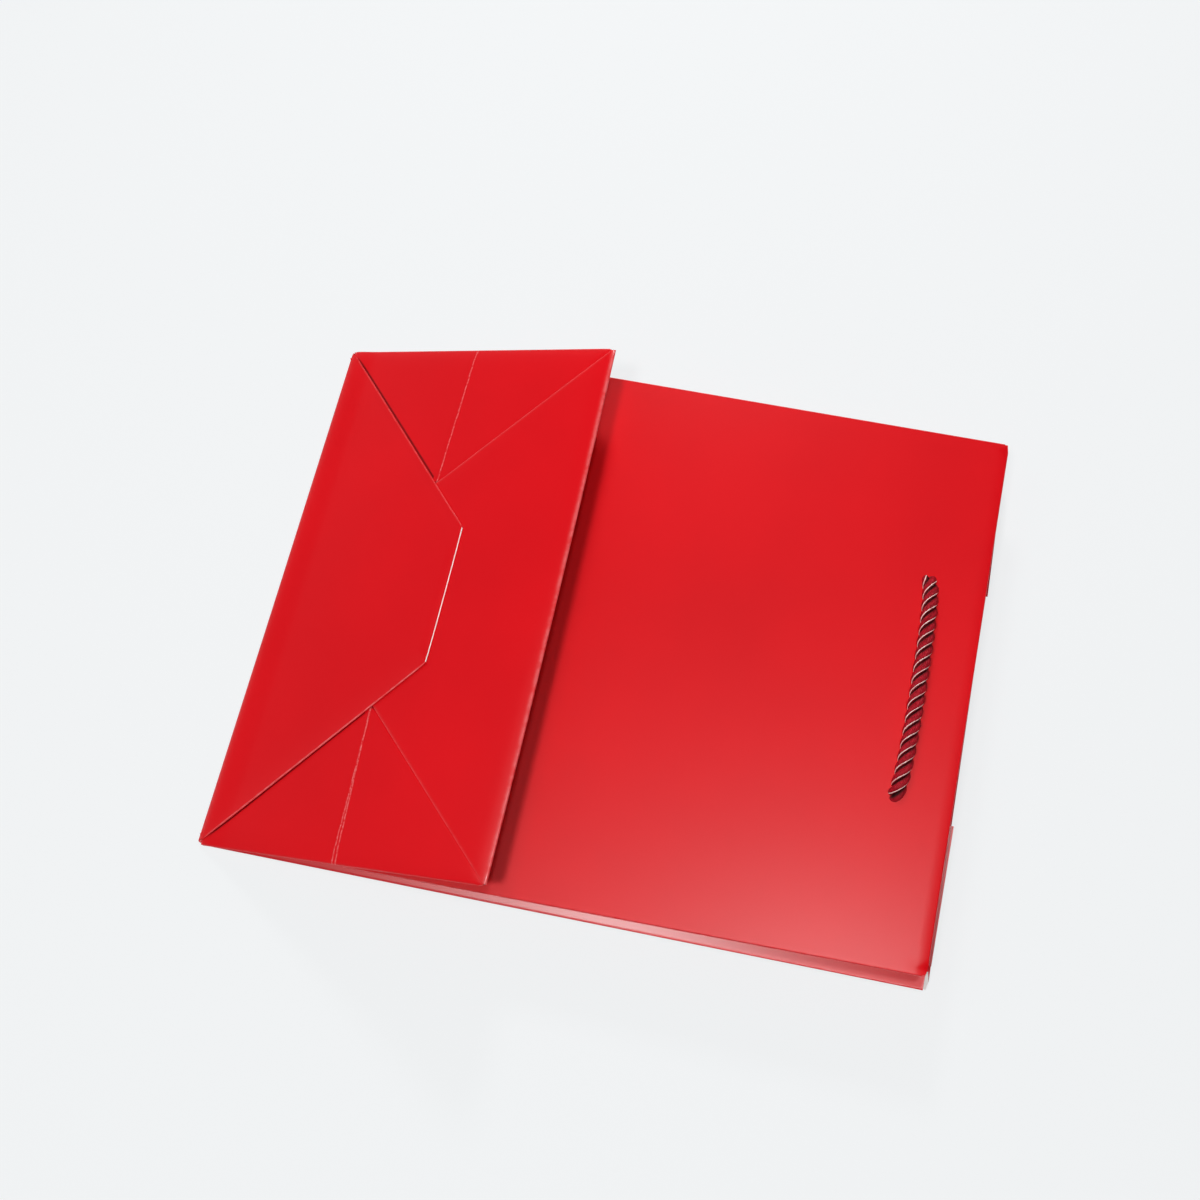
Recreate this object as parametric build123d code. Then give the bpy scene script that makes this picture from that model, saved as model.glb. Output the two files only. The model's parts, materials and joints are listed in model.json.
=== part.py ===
from build123d import *
import math
import os

# A paper carrier bag with rope handles, folded flat for storage and lying on its back.
# +X runs from the bottom fold to the mouth, +Y across the width and +Z up.
# The bag lies on its bottom fold and on its back handle, so it is tilted a little about Y.

os.makedirs("parts", exist_ok=True)

# --- Driving sizes, in millimetres ---
bag_width = 200.0
bag_depth = 118.0
bag_height = 262.0
base_flap_depth = 74.0
side_flap_reach = 56.5
flat_thickness = 18.6
strip_lean = 1.94

paper = 0.3
top_card = 0.6
base_card = 0.5
top_hem_depth = 40.0
top_card_depth = 35.0
base_board_margin = 4.0
hem_side_margin = 6.0
card_side_margin = 9.0
gusset_hem_margin = 8.0
gusset_hem_gap = 2.0
seam_tab_width = 15.0

cord_diameter = 6.0
knot_diameter = 13.0
hole_diameter = 9.4
hole_spacing = 78.0
hole_from_mouth = 20.0
punch_reach = 5.0

# --- Clearances ---
sheet_clearance = 0.05
facet_trim = 0.1
back_corner_trim = 3.0
base_corner_trim = 9.0
facet_lean_clearance = 0.2

# --- What follows from them ---
half_width = bag_width / 2
half_depth = bag_depth / 2
cord_radius = cord_diameter / 2
fold_gap = paper + sheet_clearance
front_mouth = bag_height - half_depth

# The base turns about the inner face of the back panel's bottom edge.
base_axis_height = paper + sheet_clearance
# Below the base hang its board and two folded triangles, and then comes the front panel's strip.
triangle_drop = base_card + sheet_clearance
strip_drop = triangle_drop + 2 * (paper + sheet_clearance) + sheet_clearance
strip_axis_drop = strip_drop / 2
strip_inner = strip_drop - strip_axis_drop
strip_outer = strip_inner + paper
front_axis_offset = strip_outer + sheet_clearance / 2

# The base rises until its strip, which leans away from it, comes down just onto the front wall:
# sine_share * sin(angle) + cosine_share * cos(angle) = height_to_reach.
front_axis_z = flat_thickness + sheet_clearance / 2
height_to_reach = front_axis_z - base_axis_height
lean = math.radians(strip_lean)
sine_share = bag_depth - half_depth * math.cos(lean) + front_axis_offset * math.sin(lean)
cosine_share = -strip_axis_drop - half_depth * math.sin(lean) - front_axis_offset * math.cos(lean)
base_raise_angle = math.degrees(
    math.asin(height_to_reach / math.hypot(sine_share, cosine_share))
    - math.atan2(cosine_share, sine_share)
)
strip_angle = 180 + base_raise_angle + strip_lean


def turned(angle, along, out):
    """The point that lies along and out from an axis, on a sheet that stands at an angle in XZ."""
    turn = math.radians(angle)
    x = along * math.cos(turn) - out * math.sin(turn)
    z = along * math.sin(turn) + out * math.cos(turn)
    return x, z


def sheet_plane(x, y, z, angle):
    """A plane whose X runs along a sheet and whose Z is the sheet's outward normal."""
    along = turned(angle, 1, 0)
    out = turned(angle, 0, 1)
    return Plane(origin=(x, y, z), x_dir=(along[0], 0, along[1]), z_dir=(out[0], 0, out[1]))


# The strip's axis is the raised edge of the base.
base_edge = turned(base_raise_angle, bag_depth, -strip_axis_drop)
strip_axis_x = base_edge[0]
strip_axis_z = base_axis_height + base_edge[1]
front_edge = turned(strip_angle, half_depth, front_axis_offset)
front_axis_x = strip_axis_x + front_edge[0]
# The two triangles beside the base share the strip's lean.
triangle_lean = strip_lean / 2 - facet_lean_clearance / 2

# The gusset halves lean towards each other and meet at the gusset's middle crease.
gusset_width = half_depth - facet_trim
inner_gap = flat_thickness - 2 * paper
gusset_rise = inner_gap / 2 - fold_gap - paper - sheet_clearance / 2
gusset_lean = math.degrees(math.asin(gusset_rise / gusset_width))

hole_x = bag_height - hole_from_mouth
front_hole_x = front_mouth - hole_from_mouth


# --- Planes in which the flat pieces are drawn ---
back_plane = Plane.XY
base_plane = sheet_plane(0, 0, base_axis_height, base_raise_angle)
strip_plane = sheet_plane(strip_axis_x, 0, strip_axis_z, strip_angle)
front_plane = Plane(origin=(front_axis_x, 0, flat_thickness))


def flat(plane, outline, low, high):
    """A flat piece with this outline, from low to high along the plane's normal."""
    face = make_face(Polyline(*outline, close=True))
    return plane * Pos(0, 0, low) * extrude(face, amount=high - low, dir=(0, 0, 1))


def oblong(x0, x1, y0, y1):
    return [(x0, y0), (x1, y0), (x1, y1), (x0, y1)]


def centred(x0, x1, width):
    return oblong(x0, x1, -width / 2, width / 2)


def side_plane(panel_plane, height, angle):
    """A plane on a panel's near edge, turned about it by an angle to the panel."""
    edge = panel_plane * Pos(0, -half_width, height)
    return Plane(edge * Rot(angle, 0, 0))


def other_side(shape):
    return mirror(shape, about=Plane.XZ)


def punched(shape, plane, x):
    """The shape with the two handle holes, which are cut from both sides of the plane."""
    for y in (-hole_spacing / 2, hole_spacing / 2):
        shape -= plane * Pos(x, y, 0) * Cylinder(hole_diameter / 2, 2 * punch_reach)
    return shape


# --- Top edge of a wall: hem, card and holes ---
def top_hem(plane, mouth_x, inner, turn):
    """The turned-in edge of a wall. It lies over the card and wraps the card's end.

    inner is the height of the wall's inner face and turn is +1 or -1, the way into the bag.
    """
    width = bag_width - 2 * hem_side_margin
    lies_at = inner + turn * top_card
    low, high = sorted((lies_at, lies_at + turn * paper))
    sheet = flat(plane, centred(mouth_x - top_hem_depth, mouth_x, width), low, high)
    low, high = sorted((inner, lies_at))
    return sheet + flat(plane, centred(mouth_x - paper, mouth_x, width), low, high)


def reinforcing_card(plane, mouth_x, inner, turn):
    end = mouth_x - paper - sheet_clearance
    width = bag_width - 2 * card_side_margin
    low, high = sorted((inner, inner + turn * top_card))
    return flat(plane, centred(end - top_card_depth, end, width), low, high)


# --- Back wall, which everything else folds against ---
back_panel = flat(back_plane, centred(0, bag_height, bag_width), 0, paper)
back_panel = punched(back_panel, back_plane, hole_x)
back_hem = punched(top_hem(back_plane, bag_height, paper, 1), back_plane, hole_x)
back_card = reinforcing_card(back_plane, bag_height, paper, 1)
back_card = punched(back_card, back_plane, hole_x)
tab_end = bag_height - top_hem_depth - sheet_clearance
seam_tab = flat(
    back_plane,
    [
        (seam_tab_width, half_width - seam_tab_width),
        (tab_end, half_width - seam_tab_width),
        (tab_end, half_width),
        (back_corner_trim, half_width),
    ],
    paper,
    2 * paper,
)

# --- Front wall ---
front_panel = flat(front_plane, centred(0, front_mouth, bag_width), -paper, 0)
front_panel = punched(front_panel, front_plane, front_hole_x)
front_hem = top_hem(front_plane, front_mouth, -paper, -1)
front_hem = punched(front_hem, front_plane, front_hole_x)
front_card = reinforcing_card(front_plane, front_mouth, -paper, -1)
front_card = punched(front_card, front_plane, front_hole_x)

# --- Base, folded up over the front wall ---
base_board = flat(
    base_plane,
    centred(base_board_margin, bag_depth - base_board_margin, bag_width - 2 * base_board_margin),
    -base_card,
    0,
)
side_flap_near = flat(
    base_plane,
    [
        (0, -half_width),
        (bag_depth, -half_width),
        (side_flap_reach, side_flap_reach - half_width),
    ],
    0,
    paper,
)
# The inner flap's slanted folds end at the tips of the side flaps.
inner_slant = side_flap_reach / (bag_depth - side_flap_reach)
inner_flap_end = half_width - base_flap_depth * inner_slant
inner_flap = flat(
    base_plane,
    [
        (bag_depth, -half_width),
        (bag_depth, half_width),
        (bag_depth - base_flap_depth, inner_flap_end),
        (bag_depth - base_flap_depth, -inner_flap_end),
    ],
    paper,
    2 * paper,
)
outer_flap_end = half_width - base_flap_depth
outer_flap = flat(
    base_plane,
    [
        (0, -half_width),
        (0, half_width),
        (base_flap_depth, outer_flap_end),
        (base_flap_depth, -outer_flap_end),
    ],
    2 * paper,
    3 * paper,
)

# --- Strip of the front wall that is folded under the base ---
strip = flat(
    strip_plane, centred(0, half_depth - facet_trim, bag_width), strip_inner, strip_outer
)

# --- Facets of the near gusset; the far ones mirror them ---
base_triangle = flat(
    side_plane(base_plane, -triangle_drop, -triangle_lean),
    [
        (base_corner_trim, 0),
        (bag_depth, 0),
        (half_depth, half_depth),
        (base_corner_trim, base_corner_trim),
    ],
    -paper,
    0,
)
strip_triangle_height = strip_inner - sheet_clearance
strip_triangle = flat(
    side_plane(strip_plane, strip_triangle_height, -triangle_lean),
    [(0, 0), (half_depth - facet_trim, 0), (half_depth - facet_trim, half_depth)],
    -paper,
    0,
)
gusset_back = flat(
    side_plane(back_plane, paper + fold_gap, gusset_lean),
    [
        (back_corner_trim, 0),
        (bag_height, 0),
        (bag_height, gusset_width),
        (half_depth + back_corner_trim, gusset_width),
    ],
    0,
    paper,
)
gusset_front = flat(
    side_plane(front_plane, -paper - fold_gap, -gusset_lean),
    oblong(0, front_mouth, 0, gusset_width),
    -paper,
    0,
)
gusset_hem_end = gusset_width - gusset_hem_gap
gusset_back_hem = flat(
    side_plane(back_plane, paper + fold_gap, gusset_lean),
    oblong(bag_height - top_hem_depth, bag_height, gusset_hem_margin, gusset_hem_end),
    -paper,
    0,
)
gusset_front_hem = flat(
    side_plane(front_plane, -paper - fold_gap, -gusset_lean),
    oblong(front_mouth - top_hem_depth, front_mouth, gusset_hem_margin, gusset_hem_end),
    0,
    paper,
)

# --- Handles: three-strand cord, straight outside the wall and knotted inside it ---
# Each point is (from the hole towards the mouth, across, out of the wall's outer face).
front_route = [
    (-94, -17.5, -8.8),
    (-72, -21, -8.9),
    (-47, -28.5, -7.2),
    (-22.5, -39, -5.3),
    (-2.2, -41.8, -5.6),
    (1.9, -38.8, 3.1),
    (1.9, 38.8, 3.1),
    (-2.2, 41.8, -5.6),
    (-23, 39.5, -5.3),
    (-48, 28, -7.3),
    (-75, 19.5, -8.9),
    (-98, 15, -8.8),
]
back_route = [
    (-91, -31, -8.7),
    (-69, -33, -8.8),
    (-45, -37, -7),
    (-21, -40, -5.2),
    (-2.2, -41.8, -5.6),
    (1.9, -38.8, 3.1),
    (1.9, 38.8, 3.1),
    (-2.2, 41.8, -5.6),
    (-22, 39.7, -5.2),
    (-47, 36.6, -7),
    (-73, 32.5, -8.8),
    (-96, 30.5, -8.7),
]
bend_share = 0.45


def bend_radii(route):
    """As large a bend at each inner point as its two runs leave room for."""
    points = [Vector(*point) for point in route]
    radii = []
    for before, here, after in zip(points, points[1:], points[2:]):
        turn = (here - before).get_angle(after - here)
        shorter = min((here - before).length, (after - here).length)
        radii.append(bend_share * shorter / math.tan(math.radians(turn / 2)))
    return radii


# The cord's end meets a flat of its own size on the knot.
knot_radius = knot_diameter / 2
knot_flat = math.sqrt(knot_radius**2 - cord_radius**2)


def rope_knot(end, into_cord):
    """A knot whose flat lies on the cord's end."""
    beyond_flat = Pos(0, 0, knot_flat + knot_radius) * Box(
        knot_diameter, knot_diameter, 2 * knot_radius
    )
    ball = Sphere(knot_radius) - beyond_flat
    return Plane(origin=end, z_dir=into_cord) * Pos(0, 0, -knot_flat) * ball


def rope_handle(wall_plane, route, name):
    """The cord along its route, and its two knots, placed on the wall's outer face."""
    radii = bend_radii(route)
    path = FilletPolyline(*route, radius=radii)
    cord = sweep(Plane(origin=path @ 0, z_dir=path % 0) * Circle(cord_radius), path=path)
    section_times_length = math.pi * cord_radius**2 * path.length
    print(name, "cord length", round(path.length, 1))
    print(name, "volume over section times length", round(cord.volume / section_times_length, 5))
    print(name, "bend radii", [round(radius, 1) for radius in radii])
    knots = [rope_knot(path @ 0, path % 0), rope_knot(path @ 1, path % 1 * -1)]
    return wall_plane * cord, wall_plane * Compound(children=knots)


front_holes = Plane(origin=(front_axis_x + front_hole_x, 0, flat_thickness))
back_holes = Plane(origin=(hole_x, 0, 0), x_dir=(1, 0, 0), z_dir=(0, 0, -1))
front_cord, front_knots = rope_handle(front_holes, front_route, "front")
back_cord, back_knots = rope_handle(back_holes, back_route, "back")

# --- The nodes ---
nodes = {
    "back_panel": back_panel,
    "back_top_hem": back_hem,
    "back_reinforcing_card": back_card,
    "side_seam_tab": seam_tab,
    "front_panel": front_panel,
    "front_top_hem": front_hem,
    "front_reinforcing_card": front_card,
    "front_lower_strip": strip,
    "base_board": base_board,
    "base_inner_flap": inner_flap,
    "base_outer_flap": outer_flap,
}
mirrored = {
    "base_side_flap": side_flap_near,
    "base_triangle": base_triangle,
    "strip_triangle": strip_triangle,
    "gusset_back_half": gusset_back,
    "gusset_front_half": gusset_front,
    "gusset_back_hem": gusset_back_hem,
    "gusset_front_hem": gusset_front_hem,
}
for name, shape in mirrored.items():
    nodes["near_" + name] = shape
    nodes["far_" + name] = other_side(shape)
handles = {
    "front_handle_cord": front_cord,
    "front_handle_knots": front_knots,
    "back_handle_cord": back_cord,
    "back_handle_knots": back_knots,
}

# --- The bag lies tilted, with its back handle on the surface that the bottom fold lies on ---
handle_from_hole, _, handle_off_wall = back_route[len(back_route) // 2]
bag_tilt = math.degrees(
    math.atan((handle_off_wall + cord_radius) / (hole_x + handle_from_hole))
)
tilt = Rot(0, -bag_tilt, 0)

# The origin is below the middle of the paper parts.
box = Compound(children=[tilt * shape for shape in nodes.values()]).bounding_box()
middle = box.center()
lie_down = Pos(-middle.X, -middle.Y, -box.min.Z) * tilt

for name, shape in {**nodes, **handles}.items():
    export_step(lie_down * shape, "parts/" + name + ".step")
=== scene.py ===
# %% [markdown]
# # A paper carrier bag, folded flat
# The bag is one printed and laminated sheet, creased, glued and folded flat, with a rope handle
# in each wall. The CAD model says where every wall, flap and crease is, so this script starts by
# loading it, and each Blender piece is then laid on the CAD sheet that it stands for.

# %% Load the CAD frame
import json
import math

import bpy
import numpy as np
from mathutils import Matrix, Vector
from mathutils.geometry import delaunay_2d_cdt


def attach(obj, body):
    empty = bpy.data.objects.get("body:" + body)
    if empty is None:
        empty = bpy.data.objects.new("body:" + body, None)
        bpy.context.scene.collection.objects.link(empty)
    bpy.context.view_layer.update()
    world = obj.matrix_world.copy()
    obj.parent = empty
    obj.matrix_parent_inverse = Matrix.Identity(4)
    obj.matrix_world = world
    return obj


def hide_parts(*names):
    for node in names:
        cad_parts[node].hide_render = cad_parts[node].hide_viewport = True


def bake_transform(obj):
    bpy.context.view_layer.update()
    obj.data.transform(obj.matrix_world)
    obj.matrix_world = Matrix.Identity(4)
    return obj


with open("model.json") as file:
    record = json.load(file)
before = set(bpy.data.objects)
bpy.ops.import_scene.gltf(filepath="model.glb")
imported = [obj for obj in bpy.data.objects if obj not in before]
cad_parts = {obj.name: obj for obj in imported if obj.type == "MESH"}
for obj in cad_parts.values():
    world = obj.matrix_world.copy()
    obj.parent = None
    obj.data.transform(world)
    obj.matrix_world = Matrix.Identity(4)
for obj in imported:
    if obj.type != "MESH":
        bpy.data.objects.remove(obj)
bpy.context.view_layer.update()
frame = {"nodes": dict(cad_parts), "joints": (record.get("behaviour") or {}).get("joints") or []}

mm = 0.001

# %% [markdown]
# ## Camera
# The camera looks down steeply from the near side, rolled a little. It is made first, so that
# each later piece can be looked at from the right place. Three angles could turn it, but their
# order is easy to get wrong, so its turn is built from three directions: the way to the camera,
# the right of its view and the top of it.

# %% Camera
view_azimuth = math.radians(8.964)
view_elevation = math.radians(70.089)
view_roll = math.radians(2.447)
view_target = Vector((22.923, 41.884, 0.0)) * mm
view_distance = 625.407 * mm

to_camera = Vector((
    math.sin(view_azimuth) * math.cos(view_elevation),
    -math.cos(view_azimuth) * math.cos(view_elevation),
    math.sin(view_elevation),
))
level_right = Vector((math.cos(view_azimuth), math.sin(view_azimuth), 0.0))
level_up = to_camera.cross(level_right)
view_right = level_right * math.cos(view_roll) + level_up * math.sin(view_roll)
view_up = level_up * math.cos(view_roll) - level_right * math.sin(view_roll)

camera = bpy.data.objects.new("camera", bpy.data.cameras.new("camera"))
bpy.context.scene.collection.objects.link(camera)
turn = Matrix((view_right, view_up, to_camera)).transposed().to_4x4()
camera.matrix_world = Matrix.Translation(view_target + to_camera * view_distance) @ turn
camera.data.lens = 49.0216
camera.data.sensor_width = 36.0
camera.data.shift_x = -0.08372
camera.data.shift_y = -0.03329
camera.data.clip_start = 0.01
bpy.context.scene.camera = camera
print("camera at", [round(x, 3) for x in camera.matrix_world.translation])

# %% [markdown]
# ## The four sheets of the folded bag
# Back wall, base, lower strip and front wall are flat sheets that hinge on each other. The CAD
# joints lie on their creases, so each sheet gets an origin on its crease, a direction along it,
# away from that crease, and its outward normal. A place is then (along, across, out).

# %% Directions on each sheet
joints = {joint["name"]: joint for joint in frame["joints"]}
across = Vector((0.0, 1.0, 0.0))


def crease(joint):
    """A point on a joint's axis."""
    return Vector(joints[joint]["pos_m"])


def axis_of(joint):
    """The direction of a joint's axis."""
    return Vector(joints[joint]["axis"])


class FlatSheet:
    """An origin and two directions: along the sheet, and out of its printed face."""

    def __init__(self, origin, along):
        self.origin = origin
        self.along = along.normalized()
        self.out = self.along.cross(across)

    def at(self, along, over, out):
        """The place in the air for a place on the sheet and a height out of it."""
        return self.origin + self.along * along + across * over + self.out * out

    def measure(self, node):
        """Lowest and highest (along, across, out) of a CAD node's corners."""
        corners = [v.co - self.origin for v in frame["nodes"][node].data.vertices]
        rows = [(c.dot(self.along), c.y, c.dot(self.out)) for c in corners]
        return np.min(rows, axis=0), np.max(rows, axis=0)


wall_along = axis_of("near_gusset_back_fold")
wall_up = FlatSheet(Vector(), wall_along).out
base = FlatSheet(crease("base_fold"), -axis_of("near_base_triangle_fold"))
strip = FlatSheet(crease("front_strip_fold"), -axis_of("near_strip_triangle_fold"))
paper = 0.3 * mm
slack = 0.05 * mm
back = FlatSheet(crease("base_fold") - wall_up * (paper + slack), wall_along)
front = FlatSheet(crease("front_wall_fold") - wall_up * slack / 2, wall_along)

half_width = back.measure("back_panel")[1][1]
bag_height = back.measure("back_panel")[1][0]
bag_depth = base.measure("base_inner_flap")[1][0]
front_height = front.measure("front_panel")[1][0]
print("width", round(2 * half_width / mm, 1), "depth", round(bag_depth / mm, 1))
print("height", round(bag_height / mm, 1), "front wall", round(front_height / mm, 1))

# %% [markdown]
# ## Paths of the rope handles
# A handle is one length of rope. From a knot inside the bag it runs to a punched hole, goes
# straight across the wall's outer face and back in through the other hole to a second knot. The
# path is a smooth NURBS curve on the same points as the CAD cord. Everything on the rope follows
# points read from that curve, so there is one path to correct and not several. Straight runs with
# rounded corners would be closer to the CAD tube, but they look like bent wire.

# %% Paths of the rope handles
hole_from_mouth = 20.0 * mm
rope_diameter = 6.0 * mm
# From the hole towards the mouth, across, and out of the wall's outer face.
front_route = [
    (-0.0940, -0.0175, -0.0088),
    (-0.0720, -0.0210, -0.0089),
    (-0.0470, -0.0285, -0.0072),
    (-0.0225, -0.0390, -0.0053),
    (-0.0022, -0.0418, -0.0056),
    (0.0019, -0.0388, 0.0031),
    (0.0019, 0.0388, 0.0031),
    (-0.0022, 0.0418, -0.0056),
    (-0.0230, 0.0395, -0.0053),
    (-0.0480, 0.0280, -0.0073),
    (-0.0750, 0.0195, -0.0089),
    (-0.0980, 0.0150, -0.0088),
]
back_route = [
    (-0.0910, -0.0310, -0.0087),
    (-0.0690, -0.0330, -0.0088),
    (-0.0450, -0.0370, -0.0070),
    (-0.0210, -0.0400, -0.0052),
    (-0.0022, -0.0418, -0.0056),
    (0.0019, -0.0388, 0.0031),
    (0.0019, 0.0388, 0.0031),
    (-0.0022, 0.0418, -0.0056),
    (-0.0220, 0.0397, -0.0052),
    (-0.0470, 0.0366, -0.0070),
    (-0.0730, 0.0325, -0.0088),
    (-0.0960, 0.0305, -0.0087),
]
# The front wall has slipped sideways by this much at its holes.
rope_slip = 1.6 * mm
front_holes = front.at(front_height - hole_from_mouth, rope_slip, 0)
back_holes = back.at(bag_height - hole_from_mouth, 0, 0)


def rope_path(name, route, hole_line, over, outward):
    """The points of a smooth curve through a handle's route."""
    curve = bpy.data.curves.new(name, "CURVE")
    curve.dimensions = "3D"
    curve.resolution_u = 20
    spline = curve.splines.new("NURBS")
    spline.points.add(len(route) - 1)
    for point, (x, y, z) in zip(spline.points, route):
        point.co = (*(hole_line + wall_along * x + over * y + outward * z), 1.0)
    spline.order_u = 3
    spline.use_endpoint_u = True
    holder = bpy.data.objects.new(name, curve)
    bpy.context.scene.collection.objects.link(holder)
    bpy.context.view_layer.update()
    seen = holder.evaluated_get(bpy.context.evaluated_depsgraph_get())
    line = bpy.data.meshes.new_from_object(seen)
    points = [v.co.copy() for v in line.vertices]
    bpy.data.objects.remove(holder)
    return points


front_path = rope_path("front_path", front_route, front_holes, across, wall_up)
back_path = rope_path("back_path", back_route, back_holes, -across, -wall_up)


def path_length(points):
    """The length of a line through the points."""
    return sum((b - a).length for a, b in zip(points, points[1:]))


print("front rope", round(path_length(front_path) / mm, 1), "mm")
print("back rope", round(path_length(back_path) / mm, 1), "mm")

# %% [markdown]
# ## Materials
# A material here is a small graph of shader nodes. The helper adds a node, fills its sockets and
# links what it is given, which keeps each recipe short enough to read.

# %% Helpers for shader recipes
def add(tree, kind, sockets=None, **settings):
    """A node with its settings and sockets filled. A socket given as an output is linked."""
    node = tree.nodes.new(kind)
    for name, value in settings.items():
        setattr(node, name, value)
    for name, value in (sockets or {}).items():
        if isinstance(value, bpy.types.NodeSocket):
            tree.links.new(value, node.inputs[name])
        else:
            node.inputs[name].default_value = value
    return node


def new_material(name):
    """A material with a Principled shader, its tree and that shader."""
    material = bpy.data.materials.new(name)
    material.use_nodes = True
    tree = material.node_tree
    shader = next(n for n in tree.nodes if n.type == "BSDF_PRINCIPLED")
    return material, tree, shader


def fill(shader, **values):
    """Sets plain numbers on a shader's own sockets."""
    for name, value in values.items():
        shader.inputs[name.replace("_", " ")].default_value = value


def ramp(tree, factor, stops):
    """A colour ramp with (place, colour) stops."""
    node = add(tree, "ShaderNodeValToRGB", {"Fac": factor})
    elements = node.color_ramp.elements
    while len(elements) < len(stops):
        elements.new(0.5)
    for element, (place, colour) in zip(elements, stops):
        element.position = place
        element.color = (*colour, 1.0)
    return node.outputs["Color"]


def maths(tree, operation, first, second=0.0, third=0.0):
    """The result of a Math node."""
    return add(tree, "ShaderNodeMath", {0: first, 1: second, 2: third}, operation=operation).outputs[0]


def mixed(tree, share, first, second):
    """A colour between two others, by a share from 0 to 1."""
    return add(tree, "ShaderNodeMix", {0: share, 6: first, 7: second}, data_type="RGBA").outputs[2]


def spread(tree, value, low, high, new_low=0.0, new_high=1.0, **settings):
    """A value moved from the range low to high into a new range, and kept inside it."""
    sockets = {"Value": value, 1: low, 2: high, 3: new_low, 4: new_high}
    return add(tree, "ShaderNodeMapRange", sockets, **settings).outputs[0]


def noise(tree, scale, detail, where=None):
    """Soft random patches, placed on the object unless another place is given."""
    if where is None:
        where = add(tree, "ShaderNodeTexCoord").outputs["Object"]
    sockets = {"Vector": where, "Scale": scale, "Detail": detail}
    return add(tree, "ShaderNodeTexNoise", sockets).outputs["Fac"]


def bump_of(tree, height, strength, distance, normal=None):
    """The surface direction over small bumps, on top of an earlier bump if one is given."""
    sockets = {"Height": height, "Strength": strength, "Distance": distance}
    if normal is not None:
        sockets["Normal"] = normal
    return add(tree, "ShaderNodeBump", sockets).outputs["Normal"]


# %% [markdown]
# ## Red film
# The outside of the bag is red print under a satin plastic film. The film gives a soft, even sheen, and the
# paper below shows through it as faint fibres and a slow waviness. Along some folds and edges a painted
# highlight turns the print pale, and deep in a crease painted shade turns it dark. That could be painted as
# an image. Here each sheet carries a number on its points that says how strong the painted highlight is
# (above zero) or the painted shade (below zero), so it follows the paper wherever that is folded.

# %% Red film over the print
# Pale pink for painted highlights and near black for painted shade in creases.
painted_highlight_pink = (0.85, 0.34, 0.34, 1.0)
painted_crease_shade = (0.06, 0.0005, 0.001, 1.0)


def red_film(name):
    """Satin film on red print, with painted highlights and painted shade in creases."""
    material, tree, shader = new_material(name)
    colour = ramp(tree, noise(tree, 14.0, 3.0), [(0.3, (0.67, 0.0022, 0.0068)), (0.7, (0.74, 0.003, 0.008))])
    # Above zero the sheet's number mixes in a painted highlight, broken up by noise. Below zero it mixes in
    # painted shade.
    wear = add(tree, "ShaderNodeAttribute", attribute_name="Wear").outputs["Fac"]
    broken = spread(tree, noise(tree, 420.0, 3.0), 0.35, 0.6, 0.35, 1.0)
    highlighted = mixed(tree, maths(tree, "MULTIPLY", wear, broken), colour, painted_highlight_pink)
    shaded = mixed(tree, maths(tree, "MULTIPLY", wear, -1.0), highlighted, painted_crease_shade)
    tree.links.new(shaded, shader.inputs["Base Color"])
    fibre = bump_of(tree, noise(tree, 2600.0, 2.0), 0.12, 0.04 * mm)
    normal = bump_of(tree, noise(tree, 9.0, 1.0), 0.25, 0.6 * mm, fibre)
    tree.links.new(normal, shader.inputs["Normal"])
    fill(shader, Roughness=0.30, IOR=1.45)
    return material, tree, shader


red_paper = red_film("red_paper")[0]
print("film", red_paper.name)

# %% [markdown]
# ## Pressed lines
# Each side flap of the bottom shows one or two pale lines, where the folding machine has pressed
# the sheet and the print has cracked a little. A line could be cut into the mesh, but it is
# narrower than a millimetre, so the material draws it. It measures the distance from the line in
# the piece's own UV map and lets a little noise make it wander and fade.

# %% Red film with pressed lines
side_flap_reach = 56.5 * mm
side_flap_start = 0.9 * mm
cracked_print = (0.86, 0.24, 0.24, 1.0)
line_wander = 0.5 * mm


def crease_mask(tree, edge_at, drift, half):
    """One along a pressed line on a side flap, from the UV map, and zero beside it.

    edge_at is where the line meets the bag's side, drift moves it per metre inwards, and half is
    half its width."""
    uv = add(tree, "ShaderNodeUVMap", uv_map="UVMap").outputs["UV"]
    parts = add(tree, "ShaderNodeSeparateXYZ", {"Vector": uv}).outputs
    inwards = maths(tree, "MULTIPLY_ADD", parts["X"], -bag_height, side_flap_reach)
    along = maths(tree, "MULTIPLY_ADD", parts["Y"], bag_height, side_flap_start)
    wander = maths(tree, "MULTIPLY_ADD", noise(tree, 90.0, 1.0, uv), line_wander, -line_wander / 2)
    line = maths(tree, "ADD", maths(tree, "MULTIPLY_ADD", inwards, drift, edge_at), wander)
    away = maths(tree, "ABSOLUTE", maths(tree, "SUBTRACT", along, line))
    mask = spread(tree, away, half, 0.15 * half, interpolation_type="SMOOTHSTEP")
    return maths(tree, "MULTIPLY", mask, spread(tree, noise(tree, 260.0, 2.0, uv), 0.32, 0.62))


def creased_film(name, creases, strength):
    """Red film with pale pressed lines, where the print has cracked a little."""
    material, tree, shader = red_film(name)
    mask = crease_mask(tree, *creases[0])
    for crease_line in creases[1:]:
        mask = maths(tree, "MAXIMUM", mask, crease_mask(tree, *crease_line))
    red = shader.inputs["Base Color"].links[0].from_socket
    paled = mixed(tree, maths(tree, "MULTIPLY", mask, strength), red, cracked_print)
    tree.links.new(paled, shader.inputs["Base Color"])
    normal = shader.inputs["Normal"].links[0].from_socket
    tree.links.new(bump_of(tree, mask, 0.8, 0.08 * mm, normal), shader.inputs["Normal"])
    return material


# Each line is (where it meets the bag's side, its drift inwards, half its width).
far_creased = creased_film("far_creased_film", [(58.6 * mm, -0.035, 0.42 * mm)], 0.55)
near_creased = creased_film(
    "near_creased_film", [(57.6 * mm, -0.020, 0.36 * mm), (59.0 * mm, -0.050, 0.36 * mm)], 0.6)
print("films with lines", far_creased.name, near_creased.name)

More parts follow.
